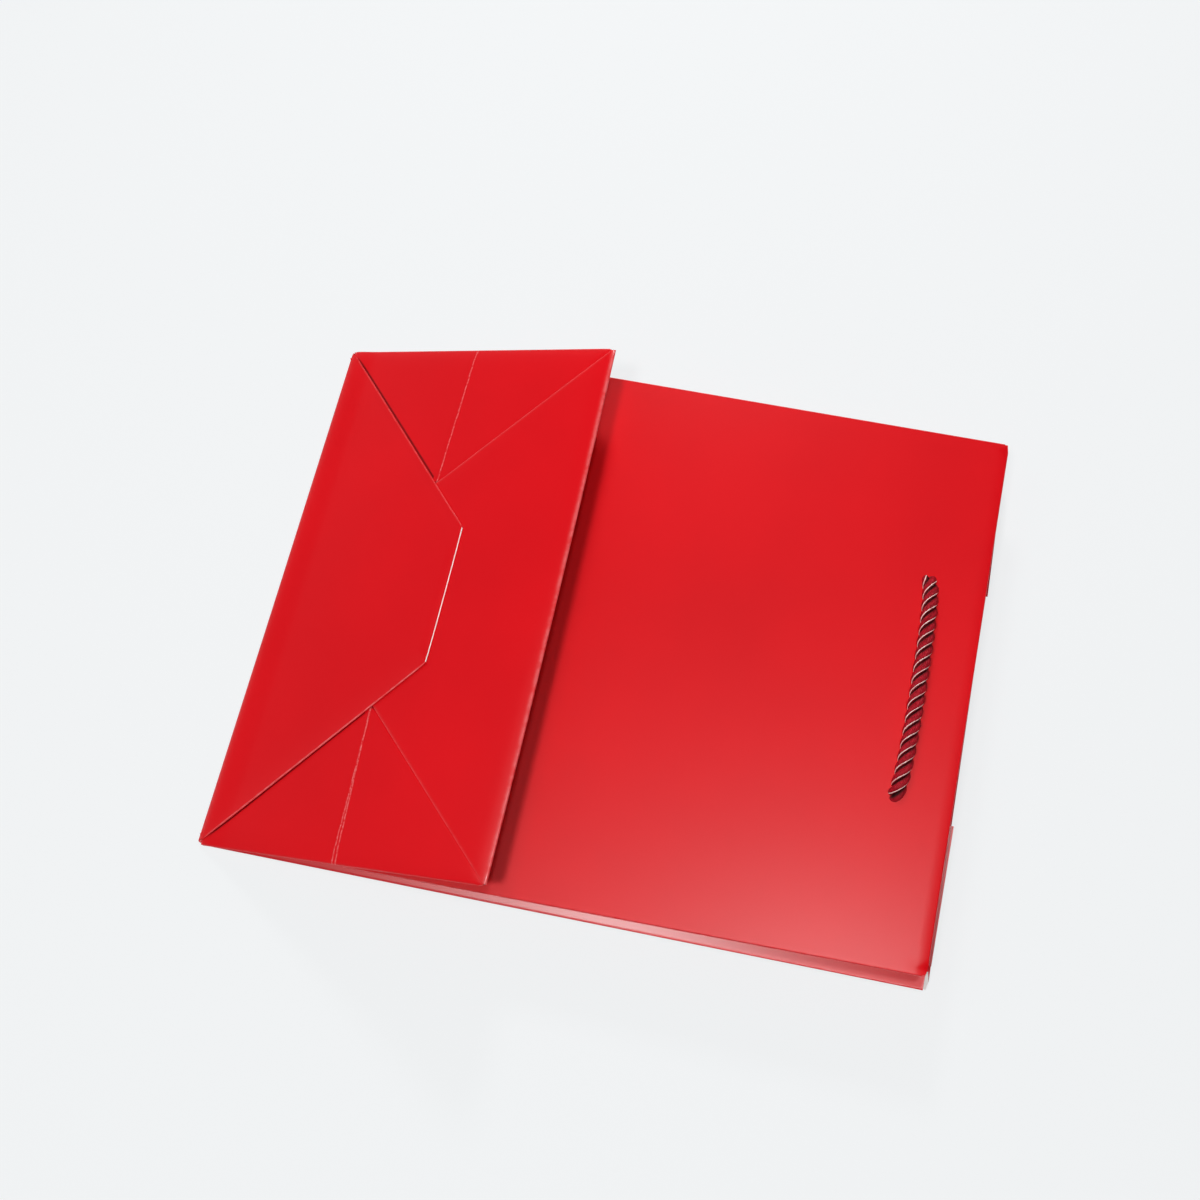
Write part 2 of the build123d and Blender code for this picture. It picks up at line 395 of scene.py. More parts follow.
# %% [markdown]
# ## White paper and card
# The inside of the sheet, its cut edges and the stiffening cards are bare white stock. They share
# one recipe, a mottled white with fibres standing up, and differ in how grey and dull they are.
# Plain white would do for edges this thin, but the inside of an opened bag is seen close up.

# %% White paper and card
def white_stock(name, light, dark, roughness):
    """Uncoated white paper: a little mottled, with fibres standing up."""
    material, tree, shader = new_material(name)
    colour = ramp(tree, noise(tree, 90.0, 5.0), [(0.3, dark), (0.7, light)])
    tree.links.new(colour, shader.inputs["Base Color"])
    fibres = bump_of(tree, noise(tree, 1500.0, 3.0), 0.3, 0.05 * mm)
    tree.links.new(fibres, shader.inputs["Normal"])
    fill(shader, Roughness=roughness, IOR=1.4)
    return material


white_paper = white_stock("white_paper", (0.86, 0.85, 0.84), (0.80, 0.79, 0.77), 0.75)
white_card = white_stock("white_card", (0.80, 0.78, 0.74), (0.70, 0.68, 0.64), 0.85)
cut_edge = white_stock("cut_edge", (0.90, 0.86, 0.84), (0.80, 0.74, 0.72), 0.8)
print("stocks", white_paper.name, white_card.name, cut_edge.name)

# %% [markdown]
# ## A bag is never quite square
# When a bag is folded flat, its walls slip a millimetre or two on each other. The front wall lies
# a little askew, and so does the bottom fold. Turning whole pieces would open gaps where they
# meet, so two helpers give the shift for each place instead: one for the front wall, and one for
# the back wall and the base.

# %% Small shifts of the folded walls
slip_forward = 1.5 * mm
slip_start = 0.1 * mm
slip_aside_far = 1.2 * mm
slip_aside_near = 2.3 * mm
fold_askew = 1.3 * mm
back_straight_at = 90 * mm


def smooth(x):
    """From 0 to 1 without a corner at either end."""
    x = min(max(x, 0.0), 1.0)
    return x * x * (3 - 2 * x)


def front_shift(along, over):
    """How far a place on the front wall lies towards the mouth and across from the square one."""
    share = min(max(along / front_height, 0.0), 1.0)
    nearness = (half_width - over) / (2 * half_width)
    forward = (slip_forward * (1 - nearness) * share + slip_start) * smooth(share * 4)
    aside = (slip_aside_far + (slip_aside_near - slip_aside_far) * nearness) * share
    return forward, aside


def fold_shift(along, over, reach):
    """How far a place lies towards the mouth from the square one, dying out from the bottom fold."""
    return fold_askew * over / half_width * (1 - smooth(along / reach))


print("far mouth corner moves", [round(x / mm, 1) for x in front_shift(front_height, half_width)], "mm")


# %% [markdown]
# ## Cutting a sheet
# A sheet starts flat: an outline, holes, and score lines where it will fold. A regular grid would
# be simpler, but its edges would cut across the folds. A constrained Delaunay net keeps every
# line whole, with points along it, and fills the rest evenly.

# %% Cut a flat sheet
def walk(points, step, closed):
    """The corners of a line with points added, no further apart than step."""
    found = []
    pairs = list(zip(points, points[1:] + points[:1] if closed else points[1:]))
    for (x0, y0), (x1, y1) in pairs:
        parts = max(1, math.ceil(math.hypot(x1 - x0, y1 - y0) / step))
        found += [(x0 + (x1 - x0) * i / parts, y0 + (y1 - y0) * i / parts) for i in range(parts)]
    return found if closed else found + [points[-1]]


def inside(points, loop):
    """For each point, whether it lies inside a closed loop."""
    x, y = points[:, 0], points[:, 1]
    found = np.zeros(len(points), bool)
    for (x0, y0), (x1, y1) in zip(loop, loop[1:] + loop[:1]):
        crosses = (y0 > y) != (y1 > y)
        reach = (x1 - x0) * (y - y0) / ((y1 - y0) or 1e-12) + x0
        found ^= crosses & (x < reach)
    return found


def cut_net(outline, holes, scores, step):
    """Points and triangles of a flat sheet, in the order of its outline's turning."""
    points, edges = [], []
    for line, closed in [(outline, True)] + [(h, True) for h in holes] + [(s, False) for s in scores]:
        walked = walk(line, step, closed)
        first = len(points)
        points += walked
        edges += [(first + i, first + i + 1) for i in range(len(walked) - 1)]
        if closed:
            edges.append((first + len(walked) - 1, first))
    on_lines = np.array(points)
    low, high = on_lines.min(0), on_lines.max(0)
    grid = np.array([(x, y) for x in np.arange(low[0] + step / 2, high[0], step)
                     for y in np.arange(low[1] + step / 2, high[1], step)])
    grid = grid[inside(grid, outline)]
    for hole in holes:
        grid = grid[~inside(grid, hole)]
    apart = np.array([np.min(np.sum((on_lines - g) ** 2, axis=1)) for g in grid])
    points += [tuple(g) for g in grid[apart > (0.45 * step) ** 2]]
    flat = [Vector(p) / mm for p in points]
    made = delaunay_2d_cdt(flat, edges, [], 4, 1e-4)
    return [v * mm for v in made[0]], [list(f) for f in made[2]]


# %% [markdown]
# ## Laying a sheet
# Each point of the flat net is moved to its place on the folded bag, and Solidify gives the paper
# its thickness on the inner side. Its material offset turns the inner side white, and the thin
# rim stays the colour of the face beside it. Cloth simulation could fold a sheet too, but a
# carton-stiff bag keeps its creases exactly where they were pressed.

# %% Lay a sheet on the bag
def lay_sheet(name, outline, place, holes=(), scores=(), step=5 * mm, thick=paper,
              materials=None, white_where=None, wear=None):
    """A sheet cut from the outline, laid with place(first, second) and given its thickness.

    The function for painted light gives a painted highlight (above 0) or painted shade in a crease (below 0)
    at a place on the flat sheet, and white_where says whether the place shows the sheet's bare cut edge."""
    net, faces = cut_net(outline, holes, scores, step)
    mesh = bpy.data.meshes.new(name)
    mesh.from_pydata([place(p.x, p.y) for p in net], [], faces)
    for material in materials or (red_paper, white_paper, cut_edge):
        mesh.materials.append(material)
    low = np.array(net).min(0)
    uv = mesh.uv_layers.new(name="UVMap")
    for loop in mesh.loops:
        p = net[loop.vertex_index]
        uv.data[loop.index].uv = ((p.x - low[0]) / bag_height, (p.y - low[1]) / bag_height)
    if wear is not None:
        paled = mesh.attributes.new("Wear", "FLOAT", "POINT")
        paled.data.foreach_set("value", [wear(p.x, p.y) for p in net])
    if white_where is not None:
        for face in mesh.polygons:
            middle = sum((net[i] for i in face.vertices), Vector((0, 0))) / len(face.vertices)
            face.material_index = 2 if white_where(middle.x, middle.y) else 0
    mesh.shade_smooth()
    draft = bpy.data.objects.new(name, mesh)
    bpy.context.scene.collection.objects.link(draft)
    solid = draft.modifiers.new("paper", "SOLIDIFY")
    solid.thickness = thick
    solid.offset = -1.0
    solid.material_offset = 1
    return finished(draft)


def finished(draft, sharp=40.0):
    """The draft with its modifiers made real, as a plain mesh."""
    name = draft.name
    bpy.context.view_layer.update()
    made = bpy.data.meshes.new_from_object(draft.evaluated_get(bpy.context.evaluated_depsgraph_get()))
    bpy.data.objects.remove(draft)
    made.set_sharp_from_angle(angle=math.radians(sharp))
    piece = bpy.data.objects.new(name, made)
    made.name = name
    bpy.context.scene.collection.objects.link(piece)
    print(name, len(made.vertices), "points", len(made.polygons), "faces")
    return piece


def turn_over(piece):
    """Moves a piece to the other side, and turns its faces to point outwards again."""
    piece.data.transform(Matrix.Scale(-1.0, 4, across))
    piece.data.flip_normals()


def mirrored(piece, name):
    """A copy of a near piece for the far side."""
    copy = piece.copy()
    copy.data = piece.data.copy()
    copy.name = name
    turn_over(copy)
    bpy.context.scene.collection.objects.link(copy)
    return copy


# %% [markdown]
# ## The profile of a fold
# Seen from the side, a folded sheet is a line: straight runs joined by rounded folds. Each line is
# kept as a table of (how far along the flat sheet, place in the air), and a fold is a Bezier arc
# between two runs. Flat plates with hard corners would be quicker, but paper resists folding, and
# the light on its soft rolls is what shows that it is paper.

# %% A fold's arc and a sheet's profile
def bezier(first, first_handle, second_handle, second, parts=24):
    """Points along a cubic Bezier arc."""
    found = []
    for i in range(parts + 1):
        t = i / parts
        a, b, c, d = (1 - t) ** 3, 3 * t * (1 - t) ** 2, 3 * t * t * (1 - t), t ** 3
        found.append(first * a + first_handle * b + second_handle * c + second * d)
    return found


def base_reading(point):
    """How far along the base a point lies."""
    return (point - base.origin).dot(base.along)


class Profile:
    """A line of points with their distance along it, counted from one of them, the tip.

    On the base's side of the tip (+1 after it, -1 before it) a point's distance is its reading
    on the base, so that flaps can be drawn there in the base's own measures."""

    def __init__(self, points, tip, base_side=0):
        line = [points[0]]
        for point in points[1:]:
            if (point - line[-1]).length > 1e-7:
                line.append(point)
        steps = [(b - a).length for a, b in zip(line, line[1:])]
        self.s = np.concatenate([[0.0], np.cumsum(steps)])
        self.x = np.array([p.x for p in line])
        self.z = np.array([p.z for p in line])
        at_tip = min(range(len(line)), key=lambda i: (line[i] - tip).length)
        self.s = self.s - self.s[at_tip]
        self.arc = self.s.copy()
        if base_side:
            read = np.array([base_reading(p) for p in line])
            self.s = np.where(self.s * base_side > 0, read, self.s + read[at_tip])
        self.ends = (float(self.s[0]), float(self.s[-1]))

    def at(self, s):
        """The place in the air at a distance along the flat sheet."""
        return Vector((float(np.interp(s, self.s, self.x)), 0.0, float(np.interp(s, self.s, self.z))))

    def near(self, point):
        """The distance at which the line passes a point."""
        tries = np.unique(np.concatenate([self.s, np.arange(self.ends[0], self.ends[1], 0.2 * mm)]))
        gap = [(self.at(s) - point).length for s in tries]
        return float(tries[int(np.argmin(gap))])

    def bends(self, low, high, apart):
        """Distances between two places, at points of the line that are at least so far apart."""
        found, last = [], None
        for s, arc in zip(self.s, self.arc):
            if low <= s <= high and (last is None or arc - last >= apart):
                found.append(float(s))
                last = arc
        return found


# %% [markdown]
# ## The three long sheets
# Three profiles cover the bag from mouth to mouth: one over the bottom fold, one over the raised
# edge and one over the front fold. Where one layer of the bottom lies on another, its height is
# counted in sheets from the base's own plane.

# %% Profiles of the three long sheets
hem_depth = bag_height - back.measure("back_top_hem")[0][0]
hem_out = 1.2 * mm
mouth_round = hem_out / 2
outer_flap_end = base.measure("base_outer_flap")[1][0]
inner_flap_start = base.measure("base_inner_flap")[0][0]
outer_top = 0.9 * mm
inner_top = 0.6 * mm
side_top = 0.52 * mm
strip_face = strip.measure("front_lower_strip")[1][2]


def mouth_turn(sheet, mouth, side):
    """The rounded turn at a wall's mouth. side is -1 where the hem lies behind the face."""
    centre = sheet.at(mouth - mouth_round, 0, side * mouth_round)
    face = -side * sheet.out
    found = []
    for i in range(13):
        angle = math.pi * i / 12
        found.append(centre + (face * math.cos(angle) + sheet.along * math.sin(angle)) * mouth_round)
    return found


# Back sheet: hem, mouth, back wall, bottom fold, outer flap.
fold_tip = back.at(-0.45 * mm, 0, 0.75 * mm)
bottom_fold = bezier(back.at(3 * mm, 0, 0), back.at(0.6 * mm, 0, 0),
                     back.at(-0.45 * mm, 0, 0.1 * mm), fold_tip)
bottom_fold += bezier(fold_tip, back.at(-0.45 * mm, 0, 2.4 * mm), base.at(7 * mm, 0, outer_top),
                      base.at(12 * mm, 0, outer_top), 40)[1:]
back_turn = list(reversed(mouth_turn(back, bag_height, 1)))
back_line = [back.at(bag_height - hem_depth, 0, hem_out)] + back_turn + bottom_fold
back_line += [base.at(outer_flap_end, 0, outer_top)]
back_profile = Profile(back_line, fold_tip, 1)

# Inner sheet: inner flap, raised edge, half of the lower strip.
edge_tip = base.at(bag_depth + 0.8 * mm, 0, -0.45 * mm)
raised_edge = bezier(base.at(bag_depth - 7 * mm, 0, inner_top), base.at(bag_depth - 2.6 * mm, 0, inner_top),
                     base.at(bag_depth + 0.8 * mm, 0, 0.35 * mm), edge_tip, 40)
raised_edge += bezier(edge_tip, base.at(bag_depth + 0.8 * mm, 0, -1.1 * mm),
                      strip.at(0.2 * mm, 0, strip_face), strip.at(2.5 * mm, 0, strip_face))[1:]
strip_join = 30 * mm
inner_line = [base.at(inner_flap_start, 0, inner_top)] + raised_edge + [strip.at(strip_join, 0, strip_face)]
inner_profile = Profile(inner_line, edge_tip, -1)

# Front sheet: the rest of the lower strip, front fold, front wall, mouth, hem. It is measured
# from the place where the front fold ends and the wall is flat.
strip_length = strip.measure("front_lower_strip")[1][0]
front_flat_from = 2 * mm
front_fold = bezier(strip.at(strip_length - 2 * mm, 0, strip_face),
                    strip.at(strip_length - 0.3 * mm, 0, strip_face),
                    front.at(0.3 * mm, 0, 0), front.at(front_flat_from, 0, 0), 16)
front_turn = mouth_turn(front, front_height, -1)
front_line = [strip.at(strip_join, 0, strip_face)] + front_fold + front_turn
front_line += [front.at(front_height - hem_depth, 0, -hem_out)]
front_profile = Profile(front_line, front.at(front_flat_from, 0, 0))
for name, profile in (("back", back_profile), ("inner", inner_profile), ("front", front_profile)):
    print(name, "sheet is", round((profile.ends[1] - profile.ends[0]) / mm, 1), "mm long")

# The soft folds add a height to the flat base: bottom_fold after its tip, and raised_edge before
# its own.
rises = [(base_reading(p), (p - base.origin).dot(base.out) - outer_top) for p in bottom_fold[25:]]
falls = [(base_reading(p), (p - base.origin).dot(base.out) - inner_top) for p in raised_edge[:41]]
lift_places, lift_heights = np.array(rises + falls).T
droop_depth = 0.42 * mm
droop_width = 1.9 * mm


def base_lift(along):
    """The height that the soft folds add at a place along the base."""
    return float(np.interp(along, lift_places, lift_heights))


def edge_droop(over):
    """How far the base's side edges are rolled off, at a place across it."""
    return -droop_depth * math.exp(-(half_width - abs(over)) / droop_width)


print("the base crowns by", round(max(lift_heights) / mm, 2), "mm at its bottom fold")

# %% [markdown]
# ## Flaps with rolled folds
# The slanted sides of both base flaps are folds: there the sheet turns under itself. Beyond such a
# fold line, a point of the flat sheet goes round a small roll and back underneath. Cutting the
# sheet off at the line would show a white edge all along it. The only cut edge in sight is the
# short end of the outer flap, where the white paper shows.

# %% Roll a flap's edge under
def rolled(top, outward, sheet_out, past, radius):
    """A point that lies past a fold line, for the place on the line above it."""
    if past < math.pi * radius:
        angle = past / radius
        return top + outward * radius * math.sin(angle) - sheet_out * radius * (1 - math.cos(angle))
    return top - outward * (past - math.pi * radius) - sheet_out * 2 * radius


def ridge(away, width):
    """One on a line, falling off to nothing at a few widths from it."""
    return math.exp(-(away / width) ** 2)


class SlantedFold:
    """A fold line on the base, the same on both sides, from one (along, across) place to another."""

    def __init__(self, first, last):
        self.first = Vector(first)
        self.last = Vector(last)
        along = (self.last - self.first).normalized()
        self.out = Vector((-along.y, along.x))
        if self.out.y < 0:
            self.out = -self.out

    def past(self, along, over):
        """How far a place lies past the fold line, on the side that turns under."""
        return (Vector((along, abs(over))) - self.first).dot(self.out)

    def line(self, past, side):
        """The line parallel to the fold, past it by some distance, on the near or far side."""
        ends = (self.first + self.out * past, self.last + self.out * past)
        return [(p.x, side * p.y) for p in ends]


outer_fold = SlantedFold((1.5 * mm, half_width - 1.5 * mm), (outer_flap_end, half_width - outer_flap_end))
inner_slant = 68 / 74
inner_narrow = half_width - (bag_depth - inner_flap_start) * inner_slant
inner_fold = SlantedFold((bag_depth - 1 * mm, half_width - 0.92 * mm), (inner_flap_start, inner_narrow))
print("inner flap's narrow end", round(2 * inner_narrow / mm, 1), "mm")

# %% [markdown]
# ## Back sheet
# The back wall, its hem and the outer flap of the bottom are one piece of paper, so they are one
# piece here. Two places get extra score lines, because they bend most: the mouth, where the hem
# turns in, and the bottom fold. The outer flap's slanted edges stand off the flaps below a little,
# more on the near side, and its short cut end is bevelled so that the white paper shows.

# %% Back sheet: hem, back wall, bottom fold and outer flap
sheet_thick = 0.28 * mm
outer_lap = 3.0 * mm
edge_lift = {-1: 0.42 * mm, 1: 0.2 * mm}
cut_bevel = 0.29 * mm
bevel_slope = 0.4


def outer_lift(along, side):
    """How much the outer flap's slanted edge stands off the flaps below it."""
    return edge_lift[side] * smooth(along / (12 * mm))


def place_back(s, over):
    """Where a place of the flat back sheet goes on the folded bag."""
    if s <= 0:
        return back_profile.at(s) + across * over + back.along * fold_shift(-s, over, back_straight_at)
    return place_outer_flap(s, over) + base.along * fold_shift(s, over, bag_depth)


def place_outer_flap(s, over):
    """The same for the outer flap, whose slanted sides go round a roll and back underneath."""
    side = 1 if over > 0 else -1
    past = outer_fold.past(s, over)
    if past <= 0 or s < outer_fold.first.x:
        raised = outer_lift(s, side) * math.exp(min(past, 0) / (5 * mm))
        raised += edge_droop(over) * smooth(s / (4 * mm))
        bevel = bevel_slope * max(0.0, s - (outer_flap_end - cut_bevel))
        return back_profile.at(s) + base.out * (raised - bevel) + across * over
    foot = Vector((s, abs(over))) - outer_fold.out * past
    raised = outer_lift(foot.x, side) + edge_droop(foot.y) * smooth(foot.x / (4 * mm))
    top = back_profile.at(foot.x) + base.out * raised + across * side * foot.y
    outward = base.along * outer_fold.out.x + across * side * outer_fold.out.y
    radius = (outer_top - side_top + outer_lift(foot.x, side)) / 2 - 0.01 * mm
    return rolled(top, outward, base.out, past, radius)


def hem_margin(sheet, node):
    """How far a hem's side lies in from the bag's side."""
    return half_width - sheet.measure(node)[1][1]


def hole_pair(rows):
    """Outlines of two punched holes, on the near and the far side, for each row of them."""
    turns = np.linspace(0, 2 * math.pi, 40, endpoint=False)
    return [[(row + hole_radius * math.cos(a), side * hole_spacing / 2 + hole_radius * math.sin(a))
             for a in turns] for row in rows for side in (-1, 1)]


hem_in = hem_margin(back, "back_top_hem")
back_mouth = [back_profile.near(p) for p in (back_turn[0], back_turn[-1])]
hem_start = back_profile.ends[0]
# How far the sheet's corners at the bottom fold are worn round, near and far.
corner = {-1: 0.9 * mm, 1: 0.35 * mm}


def back_side(side):
    """The sheet's side from hem to outer flap, on the near side (-1) or the far side (1)."""
    cut = corner[side]
    tip = base_reading(fold_tip)
    first, last = outer_fold.line(0, side)
    first_out, last_out = outer_fold.line(outer_lap, side)
    return [
        (hem_start, side * (half_width - hem_in)),
        (back_mouth[0], side * (half_width - hem_in)),
        (back_mouth[1], side * half_width),
        (tip - 1.6 * cut - 0.5 * mm, side * half_width),
        (tip - 0.7 * cut, side * (half_width - 0.35 * cut)),
        (tip, side * (half_width - cut)),
        (0.6 * mm, side * (half_width - cut - 0.3 * mm)),
        first, first_out, last_out, last,
    ]


# %% [markdown]
# ## Scores and painted highlight of the back sheet
# A net bends only where it has points, so score lines go where the paper is curved and nowhere else. They
# are closest where the curve is tightest. The near slanted fold gets a stronger painted highlight than the
# far one, so the highlight is worked out from the distance to the fold line.

# %% Cut and lay the back sheet
def across_line(s, margin):
    """A score line across the whole sheet, ending at a margin from each of the bag's sides."""
    return [(s, -half_width + margin), (s, half_width - margin)]


hole_radius = 4.7 * mm
hole_spacing = 78.0 * mm
back_hole_places = [back.at(bag_height - hole_from_mouth, 0, h) for h in (0, hem_out)]
back_punched = hole_pair([back_profile.near(place) for place in back_hole_places])
back_scores = [across_line(s, hem_in) for s in back_profile.bends(*back_mouth, 0.3 * mm)]
back_scores += [across_line(s, 1.2 * mm) for s in back_profile.bends(-6 * mm, -0.4 * mm, 0.35 * mm)]
back_scores += [across_line(s, s + 1.6 * mm) for s in back_profile.bends(0.1 * mm, 12 * mm, 0.5 * mm)]
back_scores.append([(outer_flap_end - cut_bevel, -26 * mm), (outer_flap_end - cut_bevel, 26 * mm)])
for side in (-1, 1):
    for past in (-3.0, -1.2, -0.4, 0, 0.12, 0.25, 0.4, 0.55, 0.7, 0.85, 1.0, 1.15, 1.3, 1.5, 1.8):
        back_scores.append(outer_fold.line(past * mm, side))
printed_near_fold_end = 5.0 * mm


def print_round_corner(piece):
    """At the bottom fold's two ends every layer shows its printed side."""
    ends = [back_profile.at(0) + across * side * half_width for side in (-1, 1)]
    for face in piece.data.polygons:
        if min((face.center - end).length for end in ends) < printed_near_fold_end:
            face.material_index = 0


def back_fold_highlight(s, over):
    """A painted highlight on the outer flap's slanted folds, strong on the near one and weaker on the far
    one.
    """
    if s < 0.5 * mm or s > outer_flap_end:
        return 0.0
    past = outer_fold.past(s, over)
    strength = 0.5 if over < 0 else 0.2
    return strength * ridge(past - 0.15 * mm, 0.2 * mm) * smooth(s / (6 * mm))


back_sheet = lay_sheet(
    "back_sheet", back_side(-1) + back_side(1)[::-1], place_back, back_punched, back_scores,
    step=3.5 * mm, thick=sheet_thick, wear=back_fold_highlight,
    white_where=lambda s, over: s > outer_flap_end - cut_bevel and outer_fold.past(s, over) < 0)
print_round_corner(back_sheet)

# %% [markdown]
# ## Inner sheet
# The inner flap goes under the outer one, and at the raised edge of the bottom it turns down into
# the strip. That edge bows out by less than a millimetre in its middle. The sheet ends halfway
# down the strip, out of sight, where the next sheet takes over. A single sheet for the whole bag
# would be truer, but a piece can only be blended over one crease.

# %% Inner sheet: inner flap, raised edge and half of the lower strip
inner_lap = 1.4 * mm
edge_bow = 0.7 * mm
tip_reading = base_reading(edge_tip)


def place_inner(s, over):
    """Where a place of the flat inner sheet goes on the folded bag."""
    bow = edge_bow * (1 - (over / half_width) ** 2)
    if s < tip_reading:
        bow *= smooth((s - bag_depth + 25 * mm) / (25 * mm))
    else:
        bow *= 1 - smooth((s - tip_reading) / (12 * mm))
    past = inner_fold.past(s, over)
    bow += fold_shift(s, over, bag_depth)
    drop = edge_droop(over) * smooth((tip_reading - s) / (5 * mm))
    drop -= 0.1 * mm * math.exp(min(past, 0.0) / (0.35 * mm)) * smooth((bag_depth - s) / (4 * mm))
    if past <= 0 or s > inner_fold.first.x:
        return inner_profile.at(s) + base.along * bow + base.out * drop + across * over
    side = 1 if over > 0 else -1
    foot = Vector((s, abs(over))) - inner_fold.out * past
    top = inner_profile.at(foot.x) + base.along * bow + base.out * drop + across * side * foot.y
    outward = base.along * inner_fold.out.x + across * side * inner_fold.out.y
    return rolled(top, outward, base.out, past, 0.16 * mm)


def inner_side(side):
    """The sheet's side from inner flap to strip, on the near side (-1) or the far side (1)."""
    first, last = inner_fold.line(0, side)
    first_out, last_out = inner_fold.line(inner_lap, side)
    return [last, last_out, first_out, first,
            (bag_depth, side * (half_width - 0.15 * mm)), (tip_reading, side * half_width),
            (inner_profile.ends[1], side * half_width)]


inner_scores = [across_line(s, 0.2 * mm)
                for s in inner_profile.bends(bag_depth + 0.05 * mm, bag_depth + 6 * mm, 0.3 * mm)]
inner_scores += [across_line(s, (bag_depth - s) * 0.92 + 0.4 * mm)
                 for s in inner_profile.bends(bag_depth - 7 * mm, bag_depth - 0.05 * mm, 0.5 * mm)]
for side in (-1, 1):
    for past in (-1.0, -0.3, 0, 0.1, 0.2, 0.3, 0.4, 0.5, 0.7, 1.0):
        inner_scores.append(inner_fold.line(past * mm, side))


def inner_edge_highlight(s, over):
    """A painted highlight along the raised edge, and a little in patches on the slanted folds."""
    edge = 0.34 * ridge(s - tip_reading + 0.4 * mm, 0.7 * mm)
    if s > inner_fold.first.x:
        return edge
    return edge + 0.1 * ridge(inner_fold.past(s, over), 0.3 * mm)


inner_sheet = lay_sheet("inner_sheet", inner_side(-1) + inner_side(1)[::-1], place_inner,
                        (), inner_scores, step=3.5 * mm, thick=sheet_thick, wear=inner_edge_highlight)

# %% [markdown]
# ## Front sheet
# The rest of the strip, the front fold and the front wall with its hem are the third sheet. The
# wall has slipped a little on the back wall, as it does on a real folded bag, and more so towards
# the mouth. Both layers at the mouth are punched, so the same two holes are cut in wall and hem.

# %% Front sheet: the rest of the lower strip, front fold, front wall and hem
def place_front(s, over):
    """Where a place of the flat front sheet goes on the folded bag."""
    along = min(max(s + front_flat_from, 0.0), front_height)
    forward, aside = front_shift(along, over)
    return front_profile.at(s) + front.along * forward + across * (over + aside)


front_mouth = [front_profile.near(p) for p in (front_turn[0], front_turn[-1])]
front_hem_in = hem_margin(front, "front_top_hem")


def front_side(side):
    """The sheet's side from strip to hem, on the near side (-1) or the far side (1)."""
    return [(front_profile.ends[0], side * half_width), (front_mouth[0], side * half_width),
            (front_mouth[1], side * (half_width - front_hem_in)),
            (front_profile.ends[1], side * (half_width - front_hem_in))]


punched_at = front_height - hole_from_mouth
front_punched = hole_pair([front_profile.near(front.at(punched_at, 0, h)) for h in (0, -hem_out)])
front_scores = [across_line(s, 0) for s in front_profile.bends(-5 * mm, 1 * mm, 0.3 * mm)]
front_scores += [across_line(s, front_hem_in) for s in front_profile.bends(*front_mouth, 0.3 * mm)]
front_sheet = lay_sheet("front_sheet", front_side(-1) + front_side(1)[::-1], place_front,
                        front_punched, front_scores, step=4 * mm, thick=sheet_thick)

# %% [markdown]
# ## Side flaps and gussets
# At each side the sheet folds inwards. A gusset half leaves its wall in a tight roll, printed face outwards,
# and leans into the bag until it meets the other half. The roll starts on the wall's outer face and ends on
# the facet's, round the CAD joint's axis. The helper is written for the near side, and the far side's pieces
# are made there and turned over.

# %% A facet that folds in at a sheet's near side
facet_thick = 0.26 * mm
facet_face = 0.3 * mm
# Strength of the painted highlight along each facet's roll.
facet_roll_highlight = 0.15
gusset_lean = math.radians(90 - max(joints["near_gusset_back_fold"]["range_deg"]))
triangle_lean = math.radians(90 - max(joints["near_base_triangle_fold"]["range_deg"]))
fold_run = 1.6 * mm


def folded_in(sheet, face, drop, lean, beyond, along):
    """A place on the roll, and after fold_run on the facet, at some distance along the sheet.

    face is the height of the sheet's printed face and drop the depth of the crease below it."""
    axis = sheet.at(along, -half_width, face - drop)
    if beyond < fold_run:
        angle = math.pi * beyond / fold_run
        radius = drop + (facet_face - drop) * beyond / fold_run
        return axis + sheet.out * radius * math.cos(angle) - across * radius * math.sin(angle)
    inward = across * math.cos(lean) - sheet.out * math.sin(lean)
    return axis - sheet.out * facet_face + inward * (beyond - fold_run)


def facet_piece(name, sheet, face, drop, lean, outline, shift=None):
    """A sheet that leaves another one's near side in a roll, and leans in from there.

    The outline is (in from the crease, along the sheet), and the roll is added to it.
    shift gives (forward, aside) for a distance along the crease, and dies out inwards."""
    low = min(a for i, a in outline if i == 0)
    high = max(a for i, a in outline if i == 0)
    cut = []
    for before, (inward, along) in zip(outline[-1:] + outline[:-1], outline):
        cut.append((inward + fold_run, along))
        if inward == 0:
            cut.insert(len(cut) - (before[0] == 0), (0, along))
    width = max(i for i, a in outline)

    def place(beyond, along):
        forward, aside = shift(along) if shift else (0.0, 0.0)
        left = 1 - max(0.0, beyond - fold_run) / width
        slid = sheet.along * forward * left + across * aside * left
        return folded_in(sheet, face, drop, lean, beyond, along) + slid

    scores = [[(fold_run * i / 8, low), (fold_run * i / 8, high)] for i in range(1, 9)]
    scores.append([(fold_run + 0.3 * mm, low + 1 * mm), (fold_run + 0.3 * mm, high - 1 * mm)])
    # The roll gets a faint painted highlight along it.
    return lay_sheet(name, cut, place, (), scores, step=6 * mm, thick=facet_thick,
                     wear=lambda beyond, along: facet_roll_highlight * ridge(beyond - 0.35 * mm, 0.45 * mm))


# The back wall lies face down, so a second frame on it has the bag's underside as its face.
back_outside = FlatSheet(back.origin, -back.along)
wall_drop = 0.65 * mm
strip_drop = 0.35 * mm
half_depth = bag_depth / 2
facet_width = half_depth - 0.1 * mm
short_of_mouth = 1.6 * mm


def gusset_back(name, start, over):
    """The half of a gusset on the back wall, for a bag side at over, from some place on."""
    mouth = short_of_mouth - bag_height
    outline = [(0, -start), (facet_width, -half_depth - start), (facet_width, mouth), (0, mouth)]
    return facet_piece(name, back_outside, 0, wall_drop, gusset_lean, outline,
                       lambda along: (-fold_shift(-along, over, back_straight_at), 0.0))


